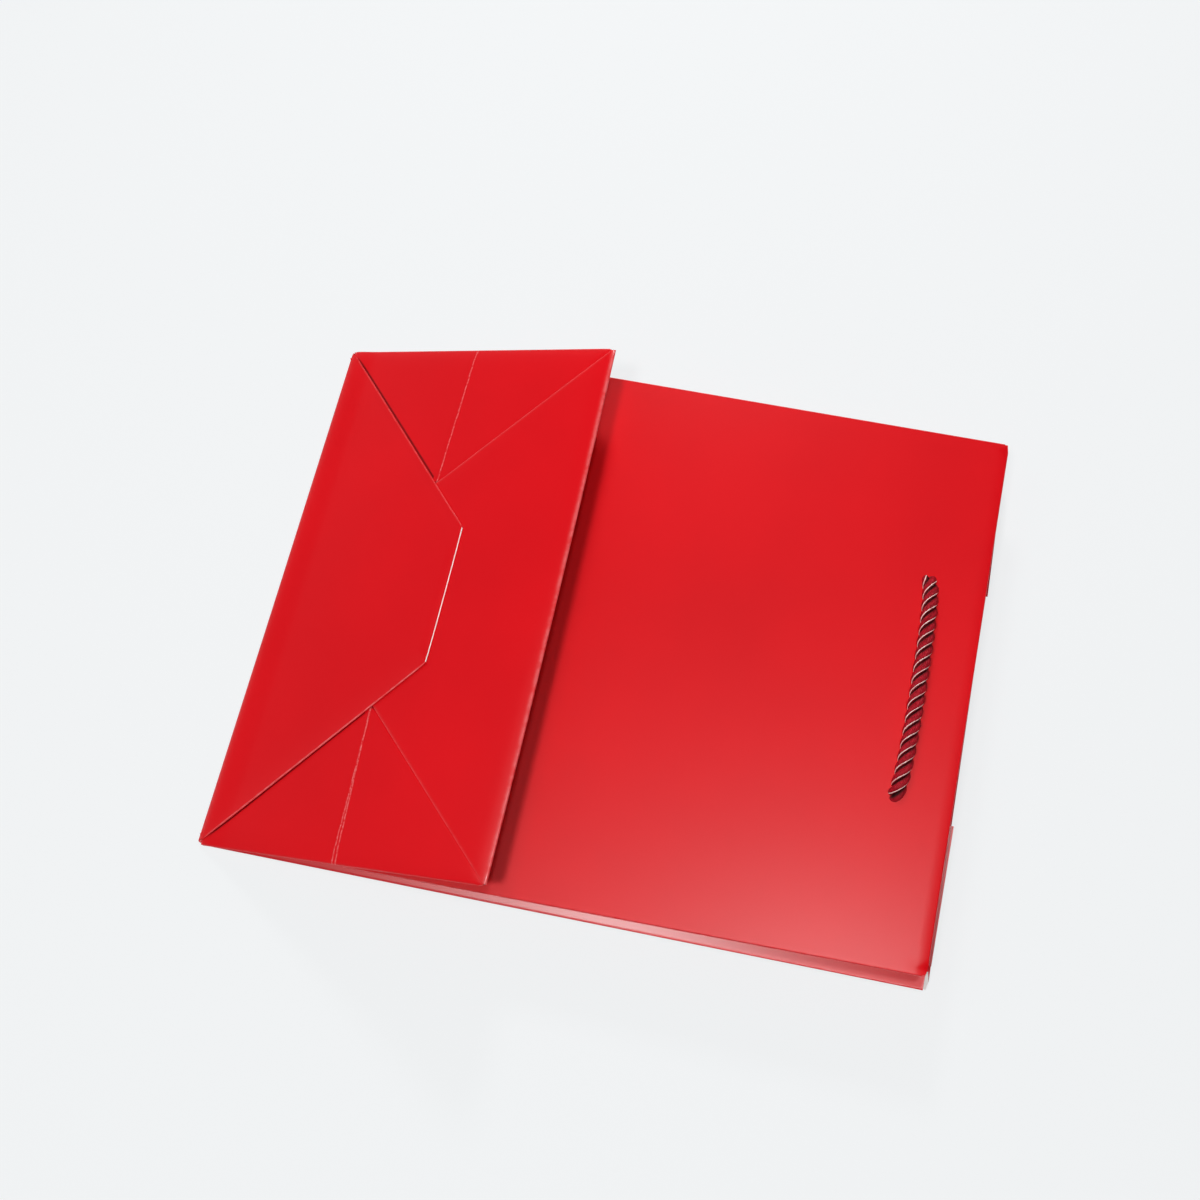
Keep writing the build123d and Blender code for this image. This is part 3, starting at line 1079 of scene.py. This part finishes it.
def gusset_front(name, shift):
    """The half of a gusset on the front wall, slipped with it."""
    mouth = front_height - short_of_mouth
    outline = [(facet_width, 0), (facet_width, mouth), (0, mouth), (0, 0)]
    return facet_piece(name, front, 0, wall_drop, gusset_lean, outline, shift)


near_gusset_back = gusset_back("near_gusset_back", 1 * mm, -half_width)
near_gusset_front = gusset_front("near_gusset_front", lambda along: front_shift(along, -half_width))
near_strip_tuck = facet_piece(
    "near_strip_tuck", strip, strip_face, strip_drop, triangle_lean,
    [(facet_width - 0.6 * mm, facet_width), (0, 0.6 * mm), (0, facet_width)])

# %% [markdown]
# ## Side flaps of the bottom
# A side flap and the triangle that tucks in beside it are one piece of paper, folded along the bag's side.
# The flap lies under both of the others, and dips where the inner flap's fold presses on it. A flap that
# stayed flat there would cut through that fold. It also has the pressed lines and painted shade in a crease,
# so its net is finer than that of the walls.

# %% Side flap and base triangle
base_drop = 0.85 * mm
groove_depth = 0.16 * mm
groove_slope = 0.16


def place_on_side(beyond, along):
    """Where a place on a side flap or its triangle goes, before the bag is knocked askew."""
    if beyond <= 0:
        over = -half_width - beyond
        past = inner_fold.past(along, over)
        groove = -groove_depth * math.exp(-max(0.0, past) / (0.35 * mm))
        groove -= groove_slope * min(max(-past, 0.0), 0.6 * mm)
        height = side_top + base_lift(along) + edge_droop(over) + groove
        return base.at(along, over, height)
    share = min(beyond / fold_run, 1.0)
    raised = (base_lift(along) + edge_droop(half_width)) * (1 + math.cos(math.pi * share)) / 2
    return folded_in(base, side_top, base_drop, triangle_lean, beyond, along) + base.out * raised


side_outline = [
    (-side_flap_reach, side_flap_reach - 1.2 * mm),
    (-3.4 * mm, 2.4 * mm),
    (-1.2 * mm, 1.4 * mm),
    (0, side_flap_start),
    (fold_run, 1.4 * mm),
    (fold_run + half_depth - 1.6 * mm, half_depth),
    (fold_run, bag_depth - 1.6 * mm),
    (0, bag_depth - 0.15 * mm),
    (-0.6 * mm, bag_depth - 0.15 * mm),
    (-side_flap_reach, side_flap_reach + 0.5 * mm),
]
# Scores along the roll at the side, and two fans into the rounded corners.
side_scores = [[(fold_run * i / 8, 1.6 * mm), (fold_run * i / 8, bag_depth - 1.8 * mm)] for i in range(9)]
side_scores += [[(-0.4 * mm, 1.5 * mm), (-0.4 * mm, bag_depth - 1.0 * mm)]]
side_scores += [[(-0.85 * (bag_depth - a), a), (0, a)] for a in np.arange(111, 117.4, 0.7) * mm]
side_scores += [[(-0.9 * a, a), (0, a)] for a in np.arange(2, 12, 1.0) * mm]
# Scores beside the inner flap's slanted fold, each as far as the flap's tip.
for past in (0.2, 0.5, 0.9, 1.5):
    (first_along, first_over), (last_along, last_over) = inner_fold.line(past * mm, 1)
    apex = side_flap_reach + 2 * past * mm
    share = (first_along - apex) / (first_along - last_along)
    side_scores.append([(first_over - half_width, first_along - past * mm),
                        (first_over + share * (last_over - first_over) - half_width, apex)])
# Scores under the outer flap's slanted fold, where painted shade darkens the crease.
for past in (-0.2, 0.2, 0.4, 0.55, 0.75, 1.0, 1.3):
    step_in = outer_fold.out.y * past * mm
    step_along = outer_fold.out.x * past * mm
    side_scores.append([(step_in - a, step_along + a) for a in (3 * mm, 54 * mm)])


def side_painted_shade(beyond, along):
    """Painted shade in the crease where the outer flap turns under."""
    past = outer_fold.past(along, -half_width - beyond)
    return -0.95 * ridge(past - 0.5 * mm, 0.34 * mm) * smooth((-beyond - 1.5 * mm) / (4 * mm))


def side_flap(name, film, over):
    """A side flap in its own film, knocked askew as the bag's side at over is."""

    def place(beyond, along):
        return place_on_side(beyond, along) + base.along * fold_shift(along, over, bag_depth)

    return lay_sheet(name, side_outline, place, (), side_scores, step=2.5 * mm, thick=facet_thick,
                     materials=(film, white_paper, film), wear=side_painted_shade)


near_side = side_flap("near_side_flap", near_creased, -half_width)

# %% [markdown]
# ## The far side
# The far side's pieces are made on the near side, where the folding code is written, and then
# turned over. Only the strip's tuck is a plain mirror image. The others are made again, because
# the bag is askew and its two sides differ by a millimetre or two. At the end, the printed side
# is brought round at the ends of the bottom fold.

# %% The far side's pieces, made near and turned over
far_strip_tuck = mirrored(near_strip_tuck, "far_strip_tuck")
far_side = side_flap("far_side_flap", far_creased, half_width)
far_gusset_back = gusset_back("far_gusset_back", 0.1 * mm, half_width)


def far_front_shift(along):
    """The front wall's shift at its far side, as it is before the piece is turned over."""
    forward, aside = front_shift(along, half_width)
    return forward, -aside


far_gusset_front = gusset_front("far_gusset_front", far_front_shift)
for piece in (far_side, far_gusset_back, far_gusset_front):
    turn_over(piece)
for piece in (near_side, far_side, inner_sheet):
    print_round_corner(piece)

# %% [markdown]
# ## Card in the front wall's hem
# A stiff card in the hem keeps the rope from tearing out. It slips with the front wall, so it is
# cut and laid by the same helper as the paper, with the rope's two holes punched through it.

# %% Card in the front wall's hem
card_low, card_high = front.measure("front_reinforcing_card")


def place_card(along, over):
    """A place on the card, slipped with the front wall."""
    forward, aside = front_shift(along, over)
    return front.at(along + forward, over + aside, card_high[2] - 0.01 * mm)


card_outline = [(card_low[0], card_low[1]), (card_high[0], card_low[1]),
                (card_high[0], card_high[1]), (card_low[0], card_high[1])]
card_thick = 0.56 * mm
front_card = lay_sheet("front_card", card_outline, place_card, hole_pair([punched_at]), (), step=6 * mm,
                       thick=card_thick, materials=(white_card, white_card, white_card))

# %% [markdown]
# ## Rope
# The rope has three strands of silky fibre laid round each other, with a thin pale tube beside each one for
# the bright line along it. A bump pattern on a plain tube could hint at them, but the outline would stay
# smooth and the grooves would have no shade. So the strands are real, and the material adds their fibres and
# paints extra shade into the grooves between them.

# %% Rope material
# Near black, painted into the grooves between strands as shade.
painted_groove_shade = (0.03, 0.0004, 0.001, 1.0)
fibres_around = 14.0
fibres_per_metre = 620.0


def rope_cord():
    """Fine silky fibres along each strand, with painted shade darkening it towards the grooves between
    strands.
    """
    material, tree, shader = new_material("rope_cord")
    uv = add(tree, "ShaderNodeUVMap", uv_map="UVMap").outputs["UV"]
    parts = add(tree, "ShaderNodeSeparateXYZ", {"Vector": uv}).outputs
    around = maths(tree, "MULTIPLY", parts["X"], fibres_around)
    along = maths(tree, "MULTIPLY", parts["Y"], fibres_per_metre)
    wave = maths(tree, "SINE", maths(tree, "MULTIPLY", maths(tree, "ADD", around, along), 2 * math.pi))
    shade = maths(tree, "MULTIPLY_ADD", wave, 0.10, noise(tree, 900.0, 3.0))
    colour = ramp(tree, shade, [(0.25, (0.24, 0.0, 0.006)), (0.75, (0.50, 0.004, 0.018))])
    # Painted shade: the colour turns near black where Depth says the surface lies deep in a groove.
    depth = add(tree, "ShaderNodeAttribute", attribute_name="Depth").outputs["Fac"]
    open_part = spread(tree, depth, 0.72, 0.99, interpolation_type="SMOOTHSTEP")
    tree.links.new(mixed(tree, open_part, painted_groove_shade, colour), shader.inputs["Base Color"])
    tree.links.new(bump_of(tree, wave, 0.55, 0.12 * mm), shader.inputs["Normal"])
    fill(shader, Roughness=0.55, IOR=1.3)
    return material


def pale_thread():
    """Pale colour for the thin tube laid beside each strand, which draws the bright line along it."""
    material, tree, shader = new_material("pale_thread")
    colour = ramp(tree, noise(tree, 1400.0, 2.0), [(0.3, (0.86, 0.42, 0.40)), (0.6, (0.97, 0.74, 0.70))])
    tree.links.new(colour, shader.inputs["Base Color"])
    fibres = bump_of(tree, noise(tree, 2400.0, 2.0), 0.4, 0.04 * mm)
    tree.links.new(fibres, shader.inputs["Normal"])
    fill(shader, Roughness=0.35, IOR=1.5)
    return material


rope_material = rope_cord()
thread_material = pale_thread()
print("rope materials", rope_material.name, thread_material.name)

# %% [markdown]
# ## The tree that lays the strands
# The Geometry Nodes tree copies the rope's path once for each strand, pushes each copy out from
# the middle by an angle that grows with the distance along the path, and sweeps a circle along it.
# The lay length, which is one full turn, sets how steeply the strands cross the rope. The sizes are
# inputs, so the handles and their knots share one tree. The pale thread is laid in the same way, a
# little ahead of the strands and with its middle further out.
#
# Each strand also stores two things for its material: a UV map, along and around the strand, and
# Depth, which is near 1 on the rope's outside and less in the grooves.

# %% Geometry Nodes tree that lays strands along a path
def laid_rope_tree():
    """The node tree, with named inputs for the rope's sizes."""
    tree = bpy.data.node_groups.new("laid_rope", "GeometryNodeTree")
    face = tree.interface
    face.new_socket("Geometry", in_out="INPUT", socket_type="NodeSocketGeometry")
    for name, value in (("Strands", 3), ("Sides", 14)):
        face.new_socket(name, in_out="INPUT", socket_type="NodeSocketInt").default_value = value
    for name, value in (("Step", 0.5 * mm), ("Lay Length", 14 * mm), ("Strand Radius", 1.5 * mm),
                        ("Strand Offset", 1.5 * mm), ("Thread Radius", 0.25 * mm),
                        ("Thread Offset", 2.6 * mm), ("Thread Lead", 0.08)):
        face.new_socket(name, in_out="INPUT", socket_type="NodeSocketFloat").default_value = value
    for name in ("Material", "Thread Material"):
        face.new_socket(name, in_out="INPUT", socket_type="NodeSocketMaterial")
    face.new_socket("Geometry", in_out="OUTPUT", socket_type="NodeSocketGeometry")
    given = tree.nodes.new("NodeGroupInput").outputs
    path = add(tree, "GeometryNodeMeshToCurve", {"Mesh": given["Geometry"]}).outputs[0]
    fine = add(tree, "GeometryNodeResampleCurve", {"Curve": path, "Length": given["Step"]}, mode="LENGTH")
    crest = maths(tree, "ADD", given["Strand Radius"], given["Strand Offset"])
    strands = laid(tree, fine.outputs[0], given, given["Strand Radius"], given["Strand Offset"], 0.0,
                   crest, given["Sides"], given["Material"])
    threads = laid(tree, fine.outputs[0], given, given["Thread Radius"], given["Thread Offset"],
                   given["Thread Lead"], crest, 6, given["Thread Material"])
    both = tree.nodes.new("GeometryNodeJoinGeometry")
    tree.links.new(threads, both.inputs[0])
    tree.links.new(strands, both.inputs[0])
    tree.links.new(both.outputs[0], tree.nodes.new("NodeGroupOutput").inputs["Geometry"])
    return tree


def scaled(tree, vector, factor):
    """A vector times a number."""
    node = add(tree, "ShaderNodeVectorMath", {0: vector}, operation="SCALE")
    tree.links.new(factor, node.inputs["Scale"])
    return node.outputs[0]


def laid(tree, path, given, radius, offset, lead, crest, sides, material):
    """Strands round a path. Each keeps how far its surface lies from the rope's middle, as Depth."""
    marked = add(tree, "GeometryNodeCaptureAttribute", {"Geometry": path}, domain="POINT")
    marked.capture_items.new("VECTOR", "Middle")
    tree.links.new(add(tree, "GeometryNodeInputPosition").outputs[0], marked.inputs["Middle"])
    strands = add(tree, "GeometryNodeDuplicateElements",
                  {"Geometry": marked.outputs["Geometry"], "Amount": given["Strands"]}, domain="SPLINE")
    length = add(tree, "GeometryNodeSplineParameter").outputs["Length"]
    turns = maths(tree, "ADD", maths(tree, "DIVIDE", length, given["Lay Length"]), lead)
    share = maths(tree, "DIVIDE", strands.outputs["Duplicate Index"], given["Strands"])
    angle = maths(tree, "MULTIPLY", maths(tree, "ADD", turns, share), 2 * math.pi)
    normal = add(tree, "GeometryNodeInputNormal").outputs[0]
    tangent = add(tree, "GeometryNodeInputTangent").outputs[0]
    side = add(tree, "ShaderNodeVectorMath", {0: tangent, 1: normal}, operation="CROSS_PRODUCT").outputs[0]
    first = scaled(tree, normal, maths(tree, "COSINE", angle))
    second = scaled(tree, side, maths(tree, "SINE", angle))
    way = add(tree, "ShaderNodeVectorMath", {0: first, 1: second}, operation="ADD").outputs[0]
    moved = add(tree, "GeometryNodeSetPosition",
                {"Geometry": strands.outputs["Geometry"], "Offset": scaled(tree, way, offset)}).outputs[0]
    read = add(tree, "GeometryNodeCaptureAttribute", {"Geometry": moved}, domain="POINT")
    read.capture_items.new("FLOAT", "Along")
    tree.links.new(add(tree, "GeometryNodeSplineParameter").outputs["Length"], read.inputs["Along"])
    circle = add(tree, "GeometryNodeCurvePrimitiveCircle", {"Resolution": sides, "Radius": radius})
    ring = add(tree, "GeometryNodeCaptureAttribute", {"Geometry": circle.outputs[0]}, domain="POINT")
    ring.capture_items.new("FLOAT", "Around")
    tree.links.new(add(tree, "GeometryNodeSplineParameter").outputs["Factor"], ring.inputs["Around"])
    swept = add(tree, "GeometryNodeCurveToMesh",
                {"Curve": read.outputs["Geometry"], "Profile Curve": ring.outputs["Geometry"],
                 "Fill Caps": True})
    place = add(tree, "ShaderNodeCombineXYZ", {"X": ring.outputs["Around"], "Y": read.outputs["Along"]})
    mapped = add(tree, "GeometryNodeStoreNamedAttribute",
                 {"Geometry": swept.outputs[0], "Name": "UVMap", "Value": place.outputs[0]},
                 data_type="FLOAT2", domain="CORNER")
    here = add(tree, "GeometryNodeInputPosition").outputs[0]
    apart = add(tree, "ShaderNodeVectorMath", {0: here, 1: marked.outputs["Middle"]}, operation="DISTANCE")
    depth = maths(tree, "DIVIDE", apart.outputs["Value"], crest)
    deep = add(tree, "GeometryNodeStoreNamedAttribute",
               {"Geometry": mapped.outputs[0], "Name": "Depth", "Value": depth},
               data_type="FLOAT", domain="POINT")
    real = add(tree, "GeometryNodeRealizeInstances", {"Geometry": deep.outputs[0]}).outputs[0]
    dressed = add(tree, "GeometryNodeSetMaterial", {"Geometry": real, "Material": material}).outputs[0]
    return add(tree, "GeometryNodeSetShadeSmooth", {"Geometry": dressed}).outputs[0]


laid_rope = laid_rope_tree()
print("rope tree has", len(laid_rope.nodes), "nodes")


# %% [markdown]
# ## The two handles
# A handle is a line of points with the tree on it as a modifier. The result is then made a plain
# mesh, because only plain meshes ride and bend with the bag. The pale thread stands just proud of
# the strands, so its radius is far smaller than theirs.

# %% Lay the two ropes
def rope(name, points, **sizes):
    """Rope along a path of points, with the tree's named inputs set by their identifiers."""
    line = bpy.data.meshes.new(name)
    line.from_pydata(points, [(i, i + 1) for i in range(len(points) - 1)], [])
    draft = bpy.data.objects.new(name, line)
    modifier = draft.modifiers.new("rope", "NODES")
    modifier.node_group = laid_rope
    sizes.update(material=rope_material, thread_material=thread_material)
    for item in laid_rope.interface.items_tree:
        wanted = item.name.replace(" ", "_").lower()
        if item.in_out == "INPUT" and wanted in sizes:
            modifier[item.identifier] = sizes[wanted]
    bpy.context.scene.collection.objects.link(draft)
    return finished(draft, 60.0)


strand_radius = rope_diameter * 0.245
strand_offset = rope_diameter / 2 - strand_radius
rope_sizes = {"lay_length": 14.2 * mm, "strand_radius": strand_radius, "strand_offset": strand_offset,
              "thread_radius": 0.22 * mm, "thread_offset": 2.55 * mm, "thread_lead": 0.09}
front_rope = rope("front_rope", front_path, **rope_sizes)
back_rope = rope("back_rope", back_path, **rope_sizes)

# %% [markdown]
# ## Knots
# Each end of a rope is tied in an overhand knot that can't slip through its hole. A ball would
# hold it as well, but the knots show when the bag is open. Pulled tight, an overhand knot is a
# trefoil, so the same rope tree runs round a small trefoil path.

# %% Knots
knot_diameter = 13.0 * mm
trefoil_scale = 1.28 * mm
knot_rope_sizes = {"lay_length": 12.5 * mm, "strand_radius": 1.35 * mm, "strand_offset": 1.3 * mm,
                   "thread_radius": 0.22 * mm, "thread_offset": 2.3 * mm, "thread_lead": 0.085}


def knot_path(end, into_rope):
    """A tight trefoil behind the rope's end, with its middle on the rope's line."""
    centre = end - into_rope * (knot_diameter / 2 - 0.7 * mm)
    turned = into_rope.to_track_quat("Z", "Y")
    found = []
    for i in range(73):
        t = 2 * math.pi * i / 72
        local = Vector((
            math.sin(t) + 2 * math.sin(2 * t),
            math.cos(t) - 2 * math.cos(2 * t),
            -1.25 * math.sin(3 * t),
        ))
        found.append(centre + turned @ (local * trefoil_scale))
    return found


def knots_for(name, path):
    """A knot on each end of a rope."""
    first = (path[1] - path[0]).normalized()
    last = (path[-2] - path[-1]).normalized()
    return [rope(name + "_" + part, knot_path(end, way), **knot_rope_sizes)
            for part, end, way in (("first", path[0], first), ("second", path[-1], last))]


front_knots = knots_for("front_knot", front_path)
back_knots = knots_for("back_knot", back_path)

# %% [markdown]
# ## Finishes of the CAD parts that stay
# The base board, the back wall's card, the glue tab and the gussets' hems are plain flat pieces
# inside the bag. They could be made again as sheets, but their CAD shapes are already right, so
# they only get their materials.

# %% Finish the kept parts
kept = {"base_board": white_card, "back_reinforcing_card": white_card, "side_seam_tab": white_paper}
for side in ("near", "far"):
    kept[side + "_gusset_back_hem"] = red_paper
    kept[side + "_gusset_front_hem"] = red_paper
for node, material in kept.items():
    frame["nodes"][node].data.materials.clear()
    frame["nodes"][node].data.materials.append(material)
print("kept", sorted(kept))

# %% [markdown]
# ## Baked sheets and hidden CAD parts
# Each sheet has its placement baked into its points, and the CAD parts that it stands for are hidden.

# %% Bake the sheets and hide their CAD parts
def blend_fold(piece, middle):
    """Bakes the piece's placement into its points."""
    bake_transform(piece)


blend_fold(back_sheet, back.origin)
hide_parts("back_panel", "back_top_hem", "base_outer_flap")
blend_fold(inner_sheet, base.at(bag_depth, 0, 0))
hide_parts("base_inner_flap")
blend_fold(front_sheet, crease("front_wall_fold"))
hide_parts("front_lower_strip", "front_panel", "front_top_hem")


def blend_facet(piece, side, sheet, face, drop):
    """Bakes the piece's placement into its points."""
    axis = sheet.at(0, 0, face - drop)
    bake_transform(piece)


for side, pieces in (("near", (near_gusset_back, near_gusset_front, near_strip_tuck, near_side)),
                     ("far", (far_gusset_back, far_gusset_front, far_strip_tuck, far_side))):
    blend_facet(pieces[0], side, back_outside, 0, wall_drop)
    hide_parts(side + "_gusset_back_half")
    blend_facet(pieces[1], side, front, 0, wall_drop)
    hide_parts(side + "_gusset_front_half")
    blend_facet(pieces[2], side, strip, strip_face, strip_drop)
    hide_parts(side + "_strip_triangle")
    blend_facet(pieces[3], side, base, side_top, base_drop)
    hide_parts(side + "_base_side_flap", side + "_base_triangle")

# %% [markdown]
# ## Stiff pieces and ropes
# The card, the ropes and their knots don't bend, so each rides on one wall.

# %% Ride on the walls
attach(front_card, "front_wall")
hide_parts("front_reinforcing_card")
for body, piece, knots in (("front_wall", front_rope, front_knots), ("back_wall", back_rope, back_knots)):
    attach(piece, body)
    for knot in knots:
        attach(knot, body)
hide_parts("front_handle_cord")
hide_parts("back_handle_cord")
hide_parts("front_handle_knots")
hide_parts("back_handle_knots")

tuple(front_path[0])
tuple(back_path[0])

# %% [markdown]
# ## Studio
# The bag lies on a pale floor, as for a catalogue. Satin film shows the shape of every lamp, so
# the lamps are chosen for where their sheen falls: three small ones and a larger, weaker one from
# the left. The floor lies a little below the bag's lowest point.

# %% Floor
floor_size = 6.0
floor_height = -0.3 * mm
backdrop_colour = (0.888, 0.905, 0.913, 1.0)


def studio_floor():
    """A large pale square, marked as no part of the object."""
    mesh = bpy.data.meshes.new("floor")
    reach = floor_size / 2
    corners = [(-reach, -reach), (reach, -reach), (reach, reach), (-reach, reach)]
    mesh.from_pydata([(x, y, floor_height) for x, y in corners], [], [(0, 1, 2, 3)])
    floor = bpy.data.objects.new("floor", mesh)
    bpy.context.scene.collection.objects.link(floor)
    material, tree, shader = new_material("floor_paper")
    colour = ramp(tree, noise(tree, 3.0, 2.0), [(0.3, (0.86, 0.88, 0.90)), (0.7, (0.87, 0.89, 0.91))])
    tree.links.new(colour, shader.inputs["Base Color"])
    fill(shader, Roughness=0.9)
    # Seen straight on, most of the floor's light is its own pale colour, and the rest its shading.
    glow = add(tree, "ShaderNodeEmission", {"Color": backdrop_colour, "Strength": 1.0})
    straight = add(tree, "ShaderNodeLightPath").outputs["Is Camera Ray"]
    share = maths(tree, "MULTIPLY", straight, 0.85)
    both = add(tree, "ShaderNodeMixShader", {0: share, 1: shader.outputs[0], 2: glow.outputs[0]})
    tree.links.new(both.outputs[0], tree.nodes["Material Output"].inputs["Surface"])
    mesh.materials.append(material)
    print("floor", floor_size, "m wide at", floor_height, "m")


studio_floor()

# %% [markdown]
# ## Lights
# Every lamp is a square that glows evenly, aimed at the bag. The world around the bag adds an
# even, dim light: dark straight above, so that the film keeps its depth of colour, and brighter
# towards the floor. What the camera sees behind the floor is one plain colour.

# %% Lamps and world
def soft_light(name, place, aim, size, power):
    """A square lamp at a place, turned towards another."""
    lamp = bpy.data.lights.new(name, "AREA")
    lamp.shape = "SQUARE"
    lamp.size = size
    lamp.energy = power
    holder = bpy.data.objects.new(name, lamp)
    bpy.context.scene.collection.objects.link(holder)
    way = Vector(aim) - Vector(place)
    holder.matrix_world = Matrix.Translation(place) @ way.to_track_quat("-Z", "Y").to_matrix().to_4x4()
    print("lamp", name, power, "W")


soft_light("key_near", (-0.12, -0.35, 1.2), (0, 0, 0), 0.12, 7.2)
soft_light("key_far", (-0.10, 0.66, 0.5), (0, 0, 0), 0.12, 2.7)
soft_light("overhead", (0.15, -0.07, 1.6), (0.15, -0.07, 0.0), 0.13, 5.1)
soft_light("left_high", (-0.92, 0.0, 1.31), (0, 0, 0), 0.6, 1.5)


def studio_world():
    """Dark overhead and brighter towards the floor, as the walls of a studio are."""
    world = bpy.data.worlds.new("studio")
    bpy.context.scene.world = world
    world.use_nodes = True
    sky = world.node_tree
    where = add(sky, "ShaderNodeTexCoord").outputs["Generated"]
    height = add(sky, "ShaderNodeSeparateXYZ", {"Vector": where}).outputs["Z"]
    greys = ((0.0, 1.0), (0.1, 0.85), (0.3, 0.82), (0.5, 0.0))
    shade = ramp(sky, height, [(place, (grey, grey, grey)) for place, grey in greys])
    backdrop = sky.nodes["Background"]
    sky.links.new(shade, backdrop.inputs["Color"])
    backdrop.inputs["Strength"].default_value = 0.55
    seen = add(sky, "ShaderNodeBackground", {"Color": backdrop_colour, "Strength": 1.0})
    straight = add(sky, "ShaderNodeLightPath").outputs["Is Camera Ray"]
    both = add(sky, "ShaderNodeMixShader", {0: straight, 1: backdrop.outputs[0], 2: seen.outputs[0]})
    sky.links.new(both.outputs[0], sky.nodes["World Output"].inputs["Surface"])


studio_world()
bpy.context.scene.view_settings.view_transform = "Standard"
